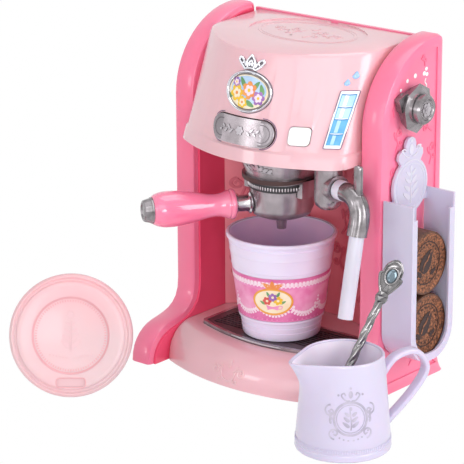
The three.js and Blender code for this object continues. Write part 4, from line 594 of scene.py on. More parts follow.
HOOD_LOW, HOOD_RISE, HOOD_HALF = 185.6, 84.4, 82
BAY_HALF = 81.65
NICHE_MID_Y, NICHE_SIDE_Y = 58.3, 23.2
BASE_MID_Y, BASE_SIDE_Y = -67.5, -49
BASE_FOOT_Z, BASE_BULGE, BASE_ROLL = 4.64, 24.36, 26
PANEL_X = 103.8
DECK_FRONT_Y, DECK_DEPTH = -41.5, 105
DECK_FRONT_Z, DECK_RISE = 268.9, 3.4
CUP = Vector((0, -3.5, 31.95))
CUP_ARM = 37
CUP_FOOT_R, CUP_TOP_R, CUP_WALL = 32.4, 42.8, 79.2


def hood_y(x, z):
    share = (z - HOOD_LOW) / HOOD_RISE
    return mix(mix(-60.3, -41.5, share), mix(-31, 6, share), (x / HOOD_HALF) ** 2) + 1.5


def hood_at(x, z, lift):
    dx, dz = hood_y(x + 0.5, z) - hood_y(x - 0.5, z), hood_y(x, z + 0.5) - hood_y(x, z - 0.5)
    return Vector((x, hood_y(x, z), z)) + Vector((dx, -1, dz)).normalized() * lift


def on_hood(u0, v0, lean=0.0):
    """The hood's surface measured from a point on it, with upright lines leaning."""
    return lambda u, v, lift: hood_at(u0 + u + lean * v, v0 + v, lift)


def niche_at(x, z, lift):
    return Vector((x, mix(NICHE_MID_Y, NICHE_SIDE_Y, (x / BAY_HALF) ** 2) - lift, z))


def base_at(x, z, lift):
    bend = asin((z - BASE_FOOT_Z) / BASE_BULGE)
    y = mix(BASE_MID_Y, BASE_SIDE_Y, (x / BAY_HALF) ** 2) + BASE_ROLL * (1 - cos(bend))
    return Vector((x, y - lift * cos(bend), z + lift * sin(bend)))


def right_at(y, z, lift):
    return Vector((PANEL_X + lift, y, z))


def left_at(y, z, lift):
    return Vector((-PANEL_X - lift, -y, z))


def deck_at(x, y, lift):
    return Vector((x, y, DECK_FRONT_Z + DECK_RISE * (y - DECK_FRONT_Y) / DECK_DEPTH + lift))


def cup_radius(z):
    return mix(CUP_FOOT_R, CUP_TOP_R, z / CUP_WALL)


def cup_at(u, v, lift, centre=0.0):
    return CUP + polar(cup_radius(v) + lift, radians(centre) + u / CUP_ARM, v)


# Motifs

def spline2(points, steps=8):
    return [(p.x, p.y) for p in spline([Vector((u, v, 0)) for u, v in points], steps)]


def box_outline(half_u, half_v, corner, steps=6, v0=0.0):
    """Rectangle with round corners."""
    points = [(-half_u, -half_v), (half_u, -half_v), (half_u, half_v), (-half_u, half_v)]
    return [(u, v + v0) for u, v in softened(points, corner, True, steps)]


def capsule_outline(half_width, half_height, count=14):
    reach = half_width - half_height
    right = [(reach + half_height * sin(a), -half_height * cos(a))
             for a in (pi * i / count for i in range(count + 1))]
    return right + [(-u, -v) for u, v in right]


def grid_outline(corners):
    """The outline with its long edges divided, so that it can follow a curved surface."""
    out = []
    for i, (u, v) in enumerate(corners):
        nu, nv = corners[(i + 1) % len(corners)]
        count = max(1, int(hypot(nu - u, nv - v) / 2.2))
        out += [(mix(u, nu, k / count), mix(v, nv, k / count)) for k in range(count)]
    return out


def leaf_outline(cu, cv, length, width, turn):
    out = []
    for a in circle(18):
        u, v = length / 2 * cos(a), width / 2 * sin(a) * (1 - 0.35 * cos(a))
        out.append((cu + u * cos(turn) - v * sin(turn),
                    cv + u * sin(turn) + v * cos(turn)))
    return out


def flower(shape, place, cu, cv, size, petals, lift, thick=0.0, turn=0.0):
    outline = []
    for i in range(petals * 8):
        a = 2 * pi * i / (petals * 8) + turn
        r = size * (0.72 + 0.28 * abs(cos(petals * (a - turn) / 2)))
        outline.append((cu + r * cos(a), cv + r * sin(a)))
    shape.patch(outline, place, lift, rings=3, thick=thick)


def flourish(shape, place, cu, cv, size, stroke, lift, thick, hand=1, turn=0.0):
    """A curled stem with two smaller curls and leaves, the motif of the plain reliefs."""
    def at(u, v):
        c, s = cos(turn), sin(turn)
        return cu + hand * (u * c - v * s) * size, cv + (u * s + v * c) * size
    stem = [at(u, v) for u, v in spline2([(-0.1, -1), (0.25, -0.4), (0.1, 0.25), (0.5, 0.75)])]
    main = [at(0.5 + u, 0.42 + v) for u, v in scroll(0, 0, 0.33, pi / 2, -1)]
    low = [at(0.58 + u, -0.42 + v) for u, v in scroll(0, 0, 0.22, pi, 1, 1.2)]
    for path in (stem, main, low):
        shape.ribbon(path, lambda t: stroke * (1.15 - 0.6 * t), place, lift, thick=thick)
    leaf = [at(-0.05 + 0.2 * sin(a) * (1 + cos(a)) / 2, 0.3 + 0.35 * cos(a))
            for a in circle(16)]
    shape.patch(leaf, place, lift, rings=2, thick=thick)


# Hood front

BADGE_U, BADGE_V = 2, 238.3
BADGE_HALF_U, BADGE_HALF_V = 21.4, 15.8
CREST_V = 254.4
BUTTON_V = 208.4
BUTTON_HALF_U, BUTTON_HALF_V = 30, 10.25
LAMP_U, LAMP_V = 48, 209.3
GAUGE_U, GAUGE_V, GAUGE_LEAN = 72.4, 222.4, 0.075


def build_badge():
    section = ((0, 0.1), (0.05, 1.9), (0.45, 2.45), (1.1, 2.3), (1.4, 1.8), (1.75, 2.1), (2.2, 1.5),
               (2.3, 0.1))
    rings = [[hood_at(BADGE_U + (BADGE_HALF_U - inset) * cos(t),
                      BADGE_V + (BADGE_HALF_V - inset) * sin(t), lift) for inset, lift in section]
             for t in circle(96)]
    rings.append(rings[0])
    Shape().skin(rings, capped=False).make("badge_bezel", CHROME, "machine", ["badge_ring"], slot="chrome")
    seams = Shape()
    for a, b, count, width, lift in ((21.65, 16.05, 90, 0.5, 0.14), (18.7, 13.1, 80, 0.55, 1.5),
                                     (20.3, 14.7, 90, 0.4, 2.32)):
        seams.ribbon(ellipse(BADGE_U, BADGE_V, a, b, count), width, hood_at, lift, closed=True)
    seams.lay("badge_seams", SHADE, "machine")
    picture = Shape().ovals([(BADGE_U, BADGE_V, 18.95, 13.35, 64)], hood_at, 1.1, 10, 1.0)
    picture.lay("badge_picture", CREAM, "machine", ["badge_face"], "pearl_white")
    Shape().ovals([(BADGE_U, 239.6, 16.6, 10.6, 56)], hood_at, 1.16, 9).lay("badge_sky", BLUE_PALE, "machine")
    leaves = [(cu, cv, 8.4, 3.8, turn) for cu, cv, turn in (
        (-14.2, 233.4, 0.5), (9.4, 243.8, 0.9), (5.6, 229.4, -0.4), (-3.4, 245.2, 2.2), (14.6, 241.2, 1.9))]
    Shape().leaves(leaves, hood_at, 1.22).lay("badge_leaves", LEAF, "machine")
    bunches = [(-8, 236.2, 6.6, YELLOW, 0.2), (3.6, 239.6, 7.0, ORANGE, 0.5), (12.6, 234.6, 5.6, VIOLET, 0.1),
               (-1.6, 230.0, 4.8, YELLOW, 0.7), (-9.6, 244.2, 3.9, VIOLET, 0.4)]
    for number, (cu, cv, size, mat, turn) in enumerate(bunches):
        bloom, inner = Shape(), Shape()
        flower(bloom, hood_at, cu, cv, size, 6, 1.3, turn=turn)
        bloom.lay(f"badge_bloom_{number}", mat, "machine")
        flower(inner, hood_at, cu, cv, size * 0.62, 5, 1.42, turn=turn + 0.4)
        inner.lay(f"badge_bloom_middle_{number}", SLEEVE_PALE if mat is not YELLOW else CREAM, "machine")
        eye = Shape().ovals([(cu, cv, size * 0.2, size * 0.2, 14)], hood_at, 1.52)
        eye.lay(f"badge_bloom_eye_{number}", ORANGE if mat is YELLOW else YELLOW, "machine")


def build_crest():
    """Open trefoil of rounded wires with beads on a dark ground, in the outline of the CAD crest."""
    at = on_hood(BADGE_U, CREST_V)
    ground, wires = Shape(), Shape()
    for outline in ([(-5.6, 0.4), (5.6, 0.4), (6.2, 5.2), (3.4, 8.6), (0, 11.6), (-3.4, 8.6), (-6.2, 5.2)],
                    [(-5.4, 0.6), (-4.4, 5.6), (-8.4, 9.0), (-11.8, 9.2), (-12.2, 6.4), (-8.6, 2.6)],
                    [(5.4, 0.6), (8.6, 2.6), (12.2, 6.4), (11.8, 9.2), (8.4, 9.0), (4.4, 5.6)]):
        ground.patch(softened(outline, 1.6, True, 3), at, 0.55, rings=3, thick=0.5)
    ground.lay("badge_trefoil_ground", SHADE, "machine")
    side = [(5.4, 0.9), (8.2, 3.2), (11.6, 6.4), (11.2, 8.6), (8.6, 8.2), (6.2, 5.4), (4.6, 2.8)]
    for loop in ([(-u, v) for u, v in side], side,
                 [(-2.8, 2.2), (-4.0, 5.6), (-2.4, 9.0), (0, 11.2), (2.4, 9.0), (4.0, 5.6), (2.8, 2.2)],
                 [(-5.6, 0.7), (-2.8, 1.6), (0, 1.9), (2.8, 1.6), (5.6, 0.7)],
                 [(-1.2, 3.4), (-1.7, 5.6), (0, 7.6), (1.7, 5.6), (1.2, 3.4)]):
        wires.tube([at(u, v, 1.2) for u, v in spline2(loop, 5)], 0.95, up=Vector((0, -1, 0)))
    for u, v, r in ((-10.9, 8.5, 1.35), (10.9, 8.5, 1.35), (0, 11.2, 1.45), (0, 4.9, 1.2), (-7.6, 5.2, 1.0),
                    (7.6, 5.2, 1.0)):
        wires.ball(at(u, v, 1.2), r)
    wires.make("badge_trefoil", CHROME, "machine", ["badge_crest"], slot="chrome", angle=60)


def build_button():
    at = on_hood(0, BUTTON_V)
    levels = [(0.15, 1.0), (0.3, 1.5), (0.8, 1.76), (2.4, 1.82), (5, 1.85), (9.6, 1.85)]
    rings = [[at(u, v, lift) for u, v in capsule_outline(BUTTON_HALF_U - inset, BUTTON_HALF_V - inset)]
             for inset, lift in levels]
    Shape().skin(rings).make("button_cap", BUTTON, "brew_button", slot="silver_grey_plastic")
    # A dark ring laid over the button where its groove runs: painted shade of the groove.
    groove = Shape().ribbon(capsule_outline(26.4, 6.65), 0.6, at, 1.92, closed=True)
    groove.lay("button_groove_shade", GREY_DARK, "brew_button")
    relief = Shape()
    for hand in (-1, 1):
        relief.leaves([(hand * (8.4 + 2.7 * step), 1.5 if step % 2 else -1.5, 4.6 - 0.5 * step, 1.7,
                        hand * (0.7 if step % 2 else -0.7)) for step in range(5)], at, 2.05, 2, 0.3)
        relief.ribbon([(hand * (5.6 + 1.4 * i), 0) for i in range(11)], 0.5, at, 2.0, thick=0.3)
    flower(relief, at, 0, 0, 3.6, 6, 2.05, 0.3)
    relief.ovals([(0, 0, 1.1, 1.1, 12)], at, 2.3, 2, 0.5).lay("button_relief", GREY_LIGHT, "brew_button")
    seam = Shape().ribbon(capsule_outline(31.35, 11.6), 0.7, at, 0.1, closed=True)
    seam.lay("button_seam", INK, "machine")


def build_window():
    at = on_hood(LAMP_U, LAMP_V)
    pane = Shape().patch(box_outline(7.7, 6.9, 3.6), at, 0.75, rings=4, thick=0.7)
    pane.lay("lamp_pane", PANE, "machine", ["light_window"], "pearl_white")
    seam = Shape().ribbon(box_outline(8.3, 7.5, 3.8), 0.45, at, 0.14, closed=True)
    seam.lay("lamp_seam", INK_PALE, "machine")


def build_gauge():
    at = on_hood(GAUGE_U, GAUGE_V, GAUGE_LEAN)

    def field(left, right, low, high, lift, rings):
        corners = [(left, low), (right, low), (right, high), (left, high)]
        return Shape().patch(grid_outline(corners), at, lift, rings)

    label = box_outline(5.6, 21.2, 0.8, 2)
    back = Shape().patch(grid_outline(label), at, 0.75, rings=6, thick=0.6)
    back.lay("gauge_back", WHITE, "machine", ["gauge_label"], "print_blue")
    Shape().ribbon(label, 0.55, at, 0.86, closed=True).lay("gauge_frame", INK, "machine")
    cells = ((-18.6, -10.6, BLUE), (-9.9, 0.4, BLUE), (1.1, 9.2, BLUE_LIGHT), (9.9, 18.6, BLUE_LIGHT))
    for number, (low, high, mat) in enumerate(cells):
        field(-4.1, 4.1, low, high, 0.9, 3).lay(f"gauge_cell_{number}", mat, "machine")
        shine = field(-1.9, 0.3, low + 0.5, high - 0.5, 0.98, 2)
        shine.lay(f"gauge_shine_{number}", WHITE if number > 1 else BLUE_LIGHT, "machine")
        line = Shape().ribbon([(-4.3, high), (0, high - 0.5), (4.3, high)], 0.7, at, 1.04)
        line.lay(f"gauge_line_{number}", BLUE_DEEP, "machine")
    sides = Shape()
    for u in (-4.2, 4.2):
        sides.ribbon([(u, -18.8 + i * 3.74) for i in range(11)], 0.5, at, 1.0)
    sides.lay("gauge_edges", BLUE, "machine")


def build_drops():
    for number, (x, z, size) in enumerate(((71.1, 249.1, 1.9), (75.1, 254.3, 2.1))):
        rings = []
        for t in (pi / 2 * k / 6 for k in range(7)):
            ring = []
            for a in circle(24):
                top = max(0, sin(a))
                ring.append(hood_at(x + size * cos(t) * cos(a) * (1 - 0.25 * top),
                                    z + size * cos(t) * sin(a) * (1 + 0.75 * top ** 3),
                                    0.1 + sin(t)))
            rings.append(ring)
        Shape().skin(rings).make(f"water_drop_{number}", DROP, "machine", slot="print_blue")


def build_deck():
    shape = Shape()
    for inset in (8.0, 10.5):
        shape.ribbon(ellipse(0, 29, 53 - inset, 35 - inset, 72), 0.9, deck_at, 0.2, closed=True, thick=0.3)
    for hand in (-1, 1):
        flourish(shape, deck_at, hand * 7, 27, 12, 1.6, 0.3, 0.4, hand)
        flourish(shape, deck_at, hand * 24, 31, 8.5, 1.3, 0.3, 0.4, hand, -0.9)
    shape.ovals([(0, 40, 3.4, 4.6, 24)], deck_at, 0.3, 2, 0.4).lay("deck_relief", PALE, "machine")


# Machine body

def build_reliefs():
    wall = Shape()
    for x, shift in ((-67, 14), (-50, 0), (-20, 8), (16, 0), (37, 12), (56, 0)):
        for z, hand in ((50, 1), (82, -1), (114, 1), (146, -1)):
            flourish(wall, niche_at, x, z + shift, 13, 2.2, 0.9, 1.3, hand * (1 if x > 0 else -1))
    # The niche reliefs are darker than the wall under them as painted shade.
    wall.lay("niche_relief", WALL_RELIEF_SHADE, "machine")
    for name, place, sign in (("right", right_at, 1), ("left", left_at, -1)):
        panel = Shape()
        for y, z, size, hand, turn in ((7, 234, 10, -1, 0.4), (6, 206, 10, 1, 0.1), (49, 214, 11, -1, -0.3),
                                       (50, 186, 9, 1, 0.2), (7, 176, 9, -1, 0.2), (-26, 15, 8, 1, -1.0),
                                       (36, 19, 8, -1, 1.3), (40, 262, 5, 1, 0.6)):
            flourish(panel, place, y * sign, z, size, 1.5, 0.5, 0.8, hand * sign, turn * sign)
        # The panel reliefs are darker than the hot pink under them as painted shade.
        panel.lay(f"{name}_panel_relief", PANEL_RELIEF_SHADE, "machine")
    base = Shape()
    for hand in (-1, 1):
        flourish(base, base_at, -4 + hand * 5.6, 12.4, 10, 1.5, 0.3, 0.8, hand, -0.6)
    base.ovals([(-4, 18.4, 2.0, 3.0, 16)], base_at, 0.35, 2, 0.9).lay("base_relief", BASE_PINK, "machine")


def bezier(a, b, c, d, steps=12):
    out = []
    for t in (i / steps for i in range(1, steps + 1)):
        k = ((1 - t) ** 3, 3 * t * (1 - t) ** 2, 3 * t * t * (1 - t), t ** 3)
        out.append(tuple(sum(w * q[j] for w, q in zip(k, (a, b, c, d))) for j in range(2)))
    return out


FRAME_TOP, FRAME_SPRING, FRAME_FLAT_Y = 279, 213, 59.5
INSTEP_Z, SHIN_Z, SHAFT_Z = 29.7, 33, 57
HEEL_Z = 26
REAR_CORNER = 6.5


def frame_edge(inset):
    """Outline of a side frame in (y, z) from the toe round the top to the heel."""
    toe, front, instep, rear = -70 + inset, -12.5 + inset, -45.85 + inset / 2, 67 - inset
    step, top = INSTEP_Z - inset, FRAME_TOP - inset
    out = [(toe, 1.0)]
    out += bezier((toe, 0), (toe, (SHIN_Z - inset) / 2), (mix(toe, instep, 0.45), step * 0.9), (instep, step))
    out += bezier(out[-1], (mix(instep, front, 0.55), SHIN_Z - inset * 7 / 8), (front, SHIN_Z),
                  (front, SHAFT_Z))
    corner = max(REAR_CORNER - inset, REAR_CORNER / 6)
    end = min(FRAME_FLAT_Y, rear - corner)
    out += [(end - (end - front) * cos(a), mix(FRAME_SPRING, top, sin(a)))
            for a in (pi / 2 * i / 30 for i in range(31))]
    return out + [(rear - corner, top), (rear - corner * 0.25, top - corner * 0.25), (rear, top - corner),
                  (rear, HEEL_Z)]


def build_joint_strips():
    """Inner lips that close the slot between each outer shell and its liner."""
    outer, inner = frame_edge(1.9), frame_edge(5.1)
    for name, sign in (("left", -1), ("right", 1)):
        rings = [[Vector((sign * 85.4, *o)), Vector((sign * 84.15, *i)), Vector((sign * 85.0, *i)),
                  Vector((sign * 86.2, *o))] for o, i in zip(outer, inner)]
        Shape().skin(rings).make(f"{name}_frame_lip", HOT, "machine", slot="hot_pink")


def build_dial_marks():
    dots = [(y, z, r, r, 18) for y, z, r in ((11.7, 244.0, 1.3), (20.1, 249.8, 1.6), (30.2, 251.9, 1.9))]
    beans = ((41.9, 251.6, 2.1), (44.6, 254.8, 1.8), (45.4, 250.4, 1.9))
    dots += [(y, z, r, r * 0.85, 16) for y, z, r in beans]
    marks = Shape().ovals(dots, right_at, 0.2)
    marks.ribbon(spline2([(44.2, 247.4), (43.0, 244.6), (45.2, 242.0), (44.0, 239.4)], 6), 1.1, right_at, 0.2)
    marks.lay("dial_marks", WHITE, "machine")


DIAL_CAP = Vector((122.02, 20.4, 230))


def build_dial_relief():
    def at(u, v, lift):
        return DIAL_CAP + Vector((lift, u, v))
    rose, rim = Shape(), Shape()
    flower(rose, at, 0, 0, 5.6, 6, 0.6, 0.6)
    flower(rose, at, 0, 0, 3.2, 6, 1.1, 0.7, 0.5)
    rose.ovals([(0, 0, 1.1, 1.1, 16)], at, 1.5, 2, 0.5).lay("dial_rosette", GREY_LIGHT, "dial")
    for u, v in ellipse(0, 0, 6.9, 6.9, 30):
        rim.ball(at(u, v, 0.1), 0.45, 8)
    rim.make("dial_beads", GREY_LIGHT, "dial", angle=70)


# Cup

def build_cup():
    r = cup_radius
    outer = [(0, 0.9), (27.0, 0.9), (27.9, 0.3), (28.2, 0), (30.0, 0), (30.7, 0.25)]
    outer += [(r(z) - 1.2, z) for z in (1.2, 6.2)]
    for z in (6.6, 10.8):
        outer += [(r(z) - 1.2, z), (r(z) - 1.6, z + 0.25), (r(z) - 1.6, z + 0.6), (r(z) - 1.15, z + 0.9)]
    outer += [(r(14.2) - 1.2, 14.2), (r(14.8) - 1.1, 14.8), (r(15.3) - 0.2, 15.3), (r(15.8), 15.6)]
    outer += [(r(z), z) for z in (16.2, 17.6)]
    outer += [(r(17.7) - 0.9, 17.7), (r(55.35) - 0.9, 55.35), (r(55.4), 55.45)]
    for z in (58.2, 69.5):
        outer += [(r(z), z), (r(z) + 0.35, z + 0.35), (r(z) + 0.3, z + 1.0), (r(z) + 0.15, z + 1.6)]
    outer += [(r(77.2), 77.2), (r(77.8) - 0.6, 78.0), (r(80.4) - 0.7, 80.4), (43.9, 80.75), (44.4, 81.2),
              (44.55, 82), (44.55, 82.9), (44.3, 83.5), (43.8, 84.0), (43.1, 84.2), (42.4, 84.1),
              (41.8, 83.7), (41.4, 82.8), (41.2, 81.0), (40.9, 78.6), (r(60) - 1.8, 60), (r(30) - 1.8, 30),
              (30.4, 6.6), (29.6, 4.6), (28.4, 3.7), (27, 3.6), (0, 3.6)]
    place = Matrix.Translation(CUP)
    Shape().lathe(outer, 112, place).make("cup_body", LILAC_CUP_PAINTED_LIGHT, "cup", ["cup"], angle=28, slot="lilac")
    inside = [(41.3, 82.6), (41.1, 81.0), (40.8, 78.6), (r(60) - 1.9, 60), (r(30) - 1.9, 30), (30.3, 6.8),
              (29.5, 4.8), (28.3, 3.85), (26.9, 3.75), (8, 3.75), (0.1, 3.75)]
    rings = [ring_at(place, x, z, 112) for x, z in inside]
    # The cup's inside is lighter and pinker than its outside: painted light.
    Shape().skin(rings, capped=False).make("cup_inside", LILAC_INSIDE_PAINTED_LIGHT, "cup")
    # A thin dark ring inside the lip: painted shade of the groove there.
    lip = ring_at(place, 41.95, 83.72, 112)
    Shape().tube(lip + lip[:1], 0.26).make("cup_lip_shade_line", LILAC_PAINTED_SHADE, "cup", angle=60)
    film = [(r(18.1) - 0.6, 18.1), (r(18.1) - 0.05, 18.1), (r(18.4), 18.4), (r(54.8), 54.8),
            (r(55.1) - 0.05, 55.1), (r(55.1) - 0.6, 55.1), (r(18.1) - 0.6, 18.1)]
    Shape().lathe(film, 112, place).make("cup_film", SLEEVE, "cup", ["cup_sleeve"], slot="print_pink")
    build_film_print()
    for number, centre in enumerate((-62, 58, 178)):
        build_film_picture(number, centre)


SWAGS = 9
SWAG_BEADS = 10
PEARLS = 74
SCALLOPS = 54


def garland(t):
    """Height of the lace along the share t of the way round."""
    return 30.5 - 5.2 * abs(sin(pi * SWAGS * t)) ** 0.8


def build_film_print():
    round_u = 2 * pi * CUP_ARM

    def stripe(low, high, name, mat, lift):
        rings = [[cup_at(round_u * t, mix(high(t), low(t), k / 3), lift) for k in range(4)]
                 for t in (i / 120 for i in range(121))]
        Shape().skin(rings, closed=False, capped=False).make(name, mat, "cup")

    stripe(lambda t: 52.6, lambda t: 55.0, "sleeve_top_band", SLEEVE_DEEP, 0.06)
    stripe(lambda t: 46.2, lambda t: 48.2, "sleeve_mist", SLEEVE_SOFT, 0.05)
    stripe(lambda t: 18.3, garland, "sleeve_low_band", SLEEVE_DEEP, 0.06)
    pearls, lace, scallops = Shape(), Shape(), Shape()
    for i in range(PEARLS):
        u = round_u * i / PEARLS
        pearls.ovals([(u, 50.4, 1.45, 2.0, 12)], cup_at, 0.35, 2, 0.3)
        pearls.ovals([(u + round_u / PEARLS / 2, 48.4, 0.8, 0.8, 8)], cup_at, 0.3, 1, 0.2)
    count = SWAGS * SWAG_BEADS
    for i in range(count):
        t, half = i / count, (i + 0.5) / count
        lace.ovals([(round_u * t, garland(t), 1.5, 1.5, 10)], cup_at, 0.26, 1, 0.2)
        smaller = [(round_u * half, garland(half) - 2.3, 1.05, 1.05, 8)]
        if i % SWAG_BEADS in (0, 1, SWAG_BEADS - 1):
            rise = 2.8 if i % SWAG_BEADS else 3.4
            smaller.append((round_u * t, garland(t) + rise, 1.25, 1.25, 8))
        if i % SWAG_BEADS == 0:
            smaller.append((round_u * t, garland(t) + 6.4, 0.85, 0.95, 8))
        lace.ovals(smaller, cup_at, 0.22, 1, 0.16)
    for u in (round_u * i / SCALLOPS for i in range(SCALLOPS)):
        scallops.ribbon([(u + 2.6 * cos(a), 20.6 - 1.9 * sin(a))
                         for a in (pi * k / 8 for k in range(9))], 0.5, cup_at, 0.16)
    pearls.lay("sleeve_pearls", SLEEVE_PALE, "cup")
    lace.lay("sleeve_lace", SLEEVE_PALE, "cup")
    scallops.lay("sleeve_scallops", SLEEVE_SOFT, "cup")


def build_film_picture(number, centre):
    """An oval with a cup of flowers, drawn by simple shapes."""
    middle = 33.6

    def at(u, v, lift):
        return cup_at(u, v + 2.2, lift, centre)
    Shape().ovals([(0, middle, 16.6, 11.6, 56)], at, 0.3, 8).lay(f"oval_edge_{number}", ORANGE, "cup")
    Shape().ovals([(0, middle, 14.8, 9.9, 52)], at, 0.38, 8).lay(f"oval_ground_{number}", CREAM, "cup")
    line = Shape().ribbon(ellipse(0, middle, 15.5, 10.5, 60), 0.45, at, 0.42, closed=True)
    line.lay(f"oval_line_{number}", YELLOW, "cup")
    top = Shape().leaves([(-4.4, 47.4, 8.6, 3.4, 2.75), (4.4, 47.4, 8.6, 3.4, 0.39)], at, 0.36)
    top.leaves([(0, 48.4, 6.6, 3.6, pi / 2)], at, 0.38).ovals([(0, 45.6, 5.4, 1.3, 20)], at, 0.4)
    top.lay(f"oval_top_{number}", ORANGE, "cup")
    mug = Shape().patch([(-5.2, 30.6), (-4.2, 26.6), (4.2, 26.6), (5.2, 30.6)], at, 0.46, rings=3)
    mug.ribbon(spline2([(4.8, 30), (7.6, 29.9), (6.9, 27.9), (4.4, 27.6)], 5), 0.8, at, 0.46)
    mug.lay(f"oval_mug_{number}", SLEEVE, "cup")
    leaves = [(u, v, 4.8, 2.1, turn) for u, v, turn in (
        (-8.2, 32.4, 2.6), (8.4, 33.4, 0.5), (-3.4, 39.9, 2.0), (4.6, 40.2, 1.1))]
    Shape().leaves(leaves, at, 0.46).lay(f"oval_leaves_{number}", LEAF, "cup")
    blooms = ((-4.3, 34.2, 3.7, BLOOM_RED), (4.4, 34.8, 3.9, YELLOW), (0.2, 37.6, 3.6, VIOLET))
    for k, (u, v, size, mat) in enumerate(blooms):
        bloom = Shape()
        flower(bloom, at, u, v, size, 6, 0.5 + 0.03 * k, turn=0.3 * k)
        bloom.lay(f"oval_bloom_{number}_{k}", mat, "cup")
        Shape().ovals([(u, v, 1.1, 1.1, 12)], at, 0.62).lay(f"oval_eye_{number}_{k}", CREAM, "cup")


# Lid

LID_RADIUS, LID_DEPTH = 48.4, 13
LID_LEAN = radians(17.5)
LID_HEIGHT = LID_RADIUS * cos(LID_LEAN) + LID_DEPTH * sin(LID_LEAN) + 0.35
LID = (Matrix.Translation((-85.7, -159.4, LID_HEIGHT)) @ spin(40, "Z")
       @ Matrix.Rotation(pi / 2 - LID_LEAN, 4, "X"))
LID_TOP = [(0, -2.34), (28.6, -2.34), (29.3, -2.1), (30.2, -1.0), (31.0, -0.7), (37.6, -0.1), (38.7, 0),
           (41.2, 0), (41.9, -0.3), (42.7, -1.8), (43.2, -2.08), (44.2, -2.08), (44.9, -1.5), (45.6, -0.7),
           (46.2, -0.6), (47.2, -1.4), (47.9, -2.4), (48.3, -3.6), (LID_RADIUS, -5.0)]
LID_UNDER = [(LID_RADIUS, -10.6), (48.35, -11.4), (LID_RADIUS, -12.6), (48.2, -LID_DEPTH), (46.7, -LID_DEPTH),
             (46.6, -12.7), (46.6, -3.9), (29.04, -4.14), (0, -4.14)]
SIP_V = -36.8


def lid_top(r):
    for (r0, z0), (r1, z1) in zip(LID_TOP, LID_TOP[1:]):
        if r <= r1:
            return mix(z0, z1, (r - r0) / (r1 - r0))
    return LID_TOP[-1][1]


def lid_at(u, v, lift):
    return LID @ Vector((u, v, lid_top(hypot(u, v)) + lift))


def build_lid():
    disc = Shape().lathe(LID_TOP + LID_UNDER, 128, LID)
    disc = disc.make("lid_disc", LID_PINK, "lid", ["cup_lid"], angle=30, slot="pale_pink")
    opening = box_outline(11, 3.2, 2.4, v0=SIP_V)
    cut(disc, Shape().skin([[LID @ Vector((u, v, z)) for u, v in opening] for z in (-8, 4)]))
    lines = Shape()
    for a in circle(84):
        lines.ribbon([(r * cos(a), r * sin(a)) for r in (26.4, 27.2, 28.0)], 0.85, lid_at, 0.2,
                     thick=0.4)
    lines.ribbon(ellipse(0, 0, 29.6, 29.6, 96), 1.5, lid_at, 0.12, closed=True, thick=0.4)
    lines.ribbon(box_outline(11.4, 3.7, 2.6, v0=SIP_V), 0.7, lid_at, 0.2, closed=True, thick=0.5)
    lines.make("lid_lines", LID_LINE, "lid")
    film = Shape().patch(box_outline(10.9, 3.1, 2.3, v0=SIP_V),
                         lambda u, v, lift: LID @ Vector((u, v, lift - 1.6)), 0, 3, 0.8)
    film.lay("lid_sip_film", LID_SHADE, "lid")
    relief = Shape()
    for hand in (-1, 1):
        relief.leaves([(hand * (4.2 - 0.7 * step), -6.5 + 5.2 * step, 8.6 - 1.4 * step, 3.0 - 0.4 * step,
                        pi / 2 - hand * 0.9) for step in range(4)], lid_at, 0.35, 2, 0.5)
        relief.ovals([(hand * (3.2 + 2.6 * k), -17.4 + 0.5 * k, 0.7, 0.7, 8) for k in range(6)],
                     lid_at, 0.35, 1, 0.5)
    relief.ribbon([(0, -12 + 2.6 * k) for k in range(10)], 0.9, lid_at, 0.35, thick=0.5)
    flower(relief, lid_at, 0, 16.4, 2.9, 6, 0.4, 0.6)
    relief.lay("lid_relief", LID_SHADE, "lid")


# Pitcher

PITCHER = Vector((141, -105.2, 0.175))
PITCHER_HEIGHT, PITCHER_FOOT_R, PITCHER_TOP_R = 74, 36.5, 30.2
PITCHER_ARM = 34
SPOUT = radians(-111)
EMBLEM_V = 31


def pitcher_radius(z, angle, inset=0.0):
    gap = atan2(sin(angle - SPOUT), cos(angle - SPOUT))
    rise = max(0, (z / PITCHER_HEIGHT - 0.5) / 0.5)
    lip = 17 * rise ** 1.8 * exp(-(abs(gap) / 0.38) ** 1.45)
    return mix(PITCHER_FOOT_R, PITCHER_TOP_R, z / PITCHER_HEIGHT) - inset + lip


def pitcher_at(u, v, lift):
    angle = radians(-50) + u / PITCHER_ARM
    return PITCHER + polar(pitcher_radius(v, angle) + lift, angle, v)


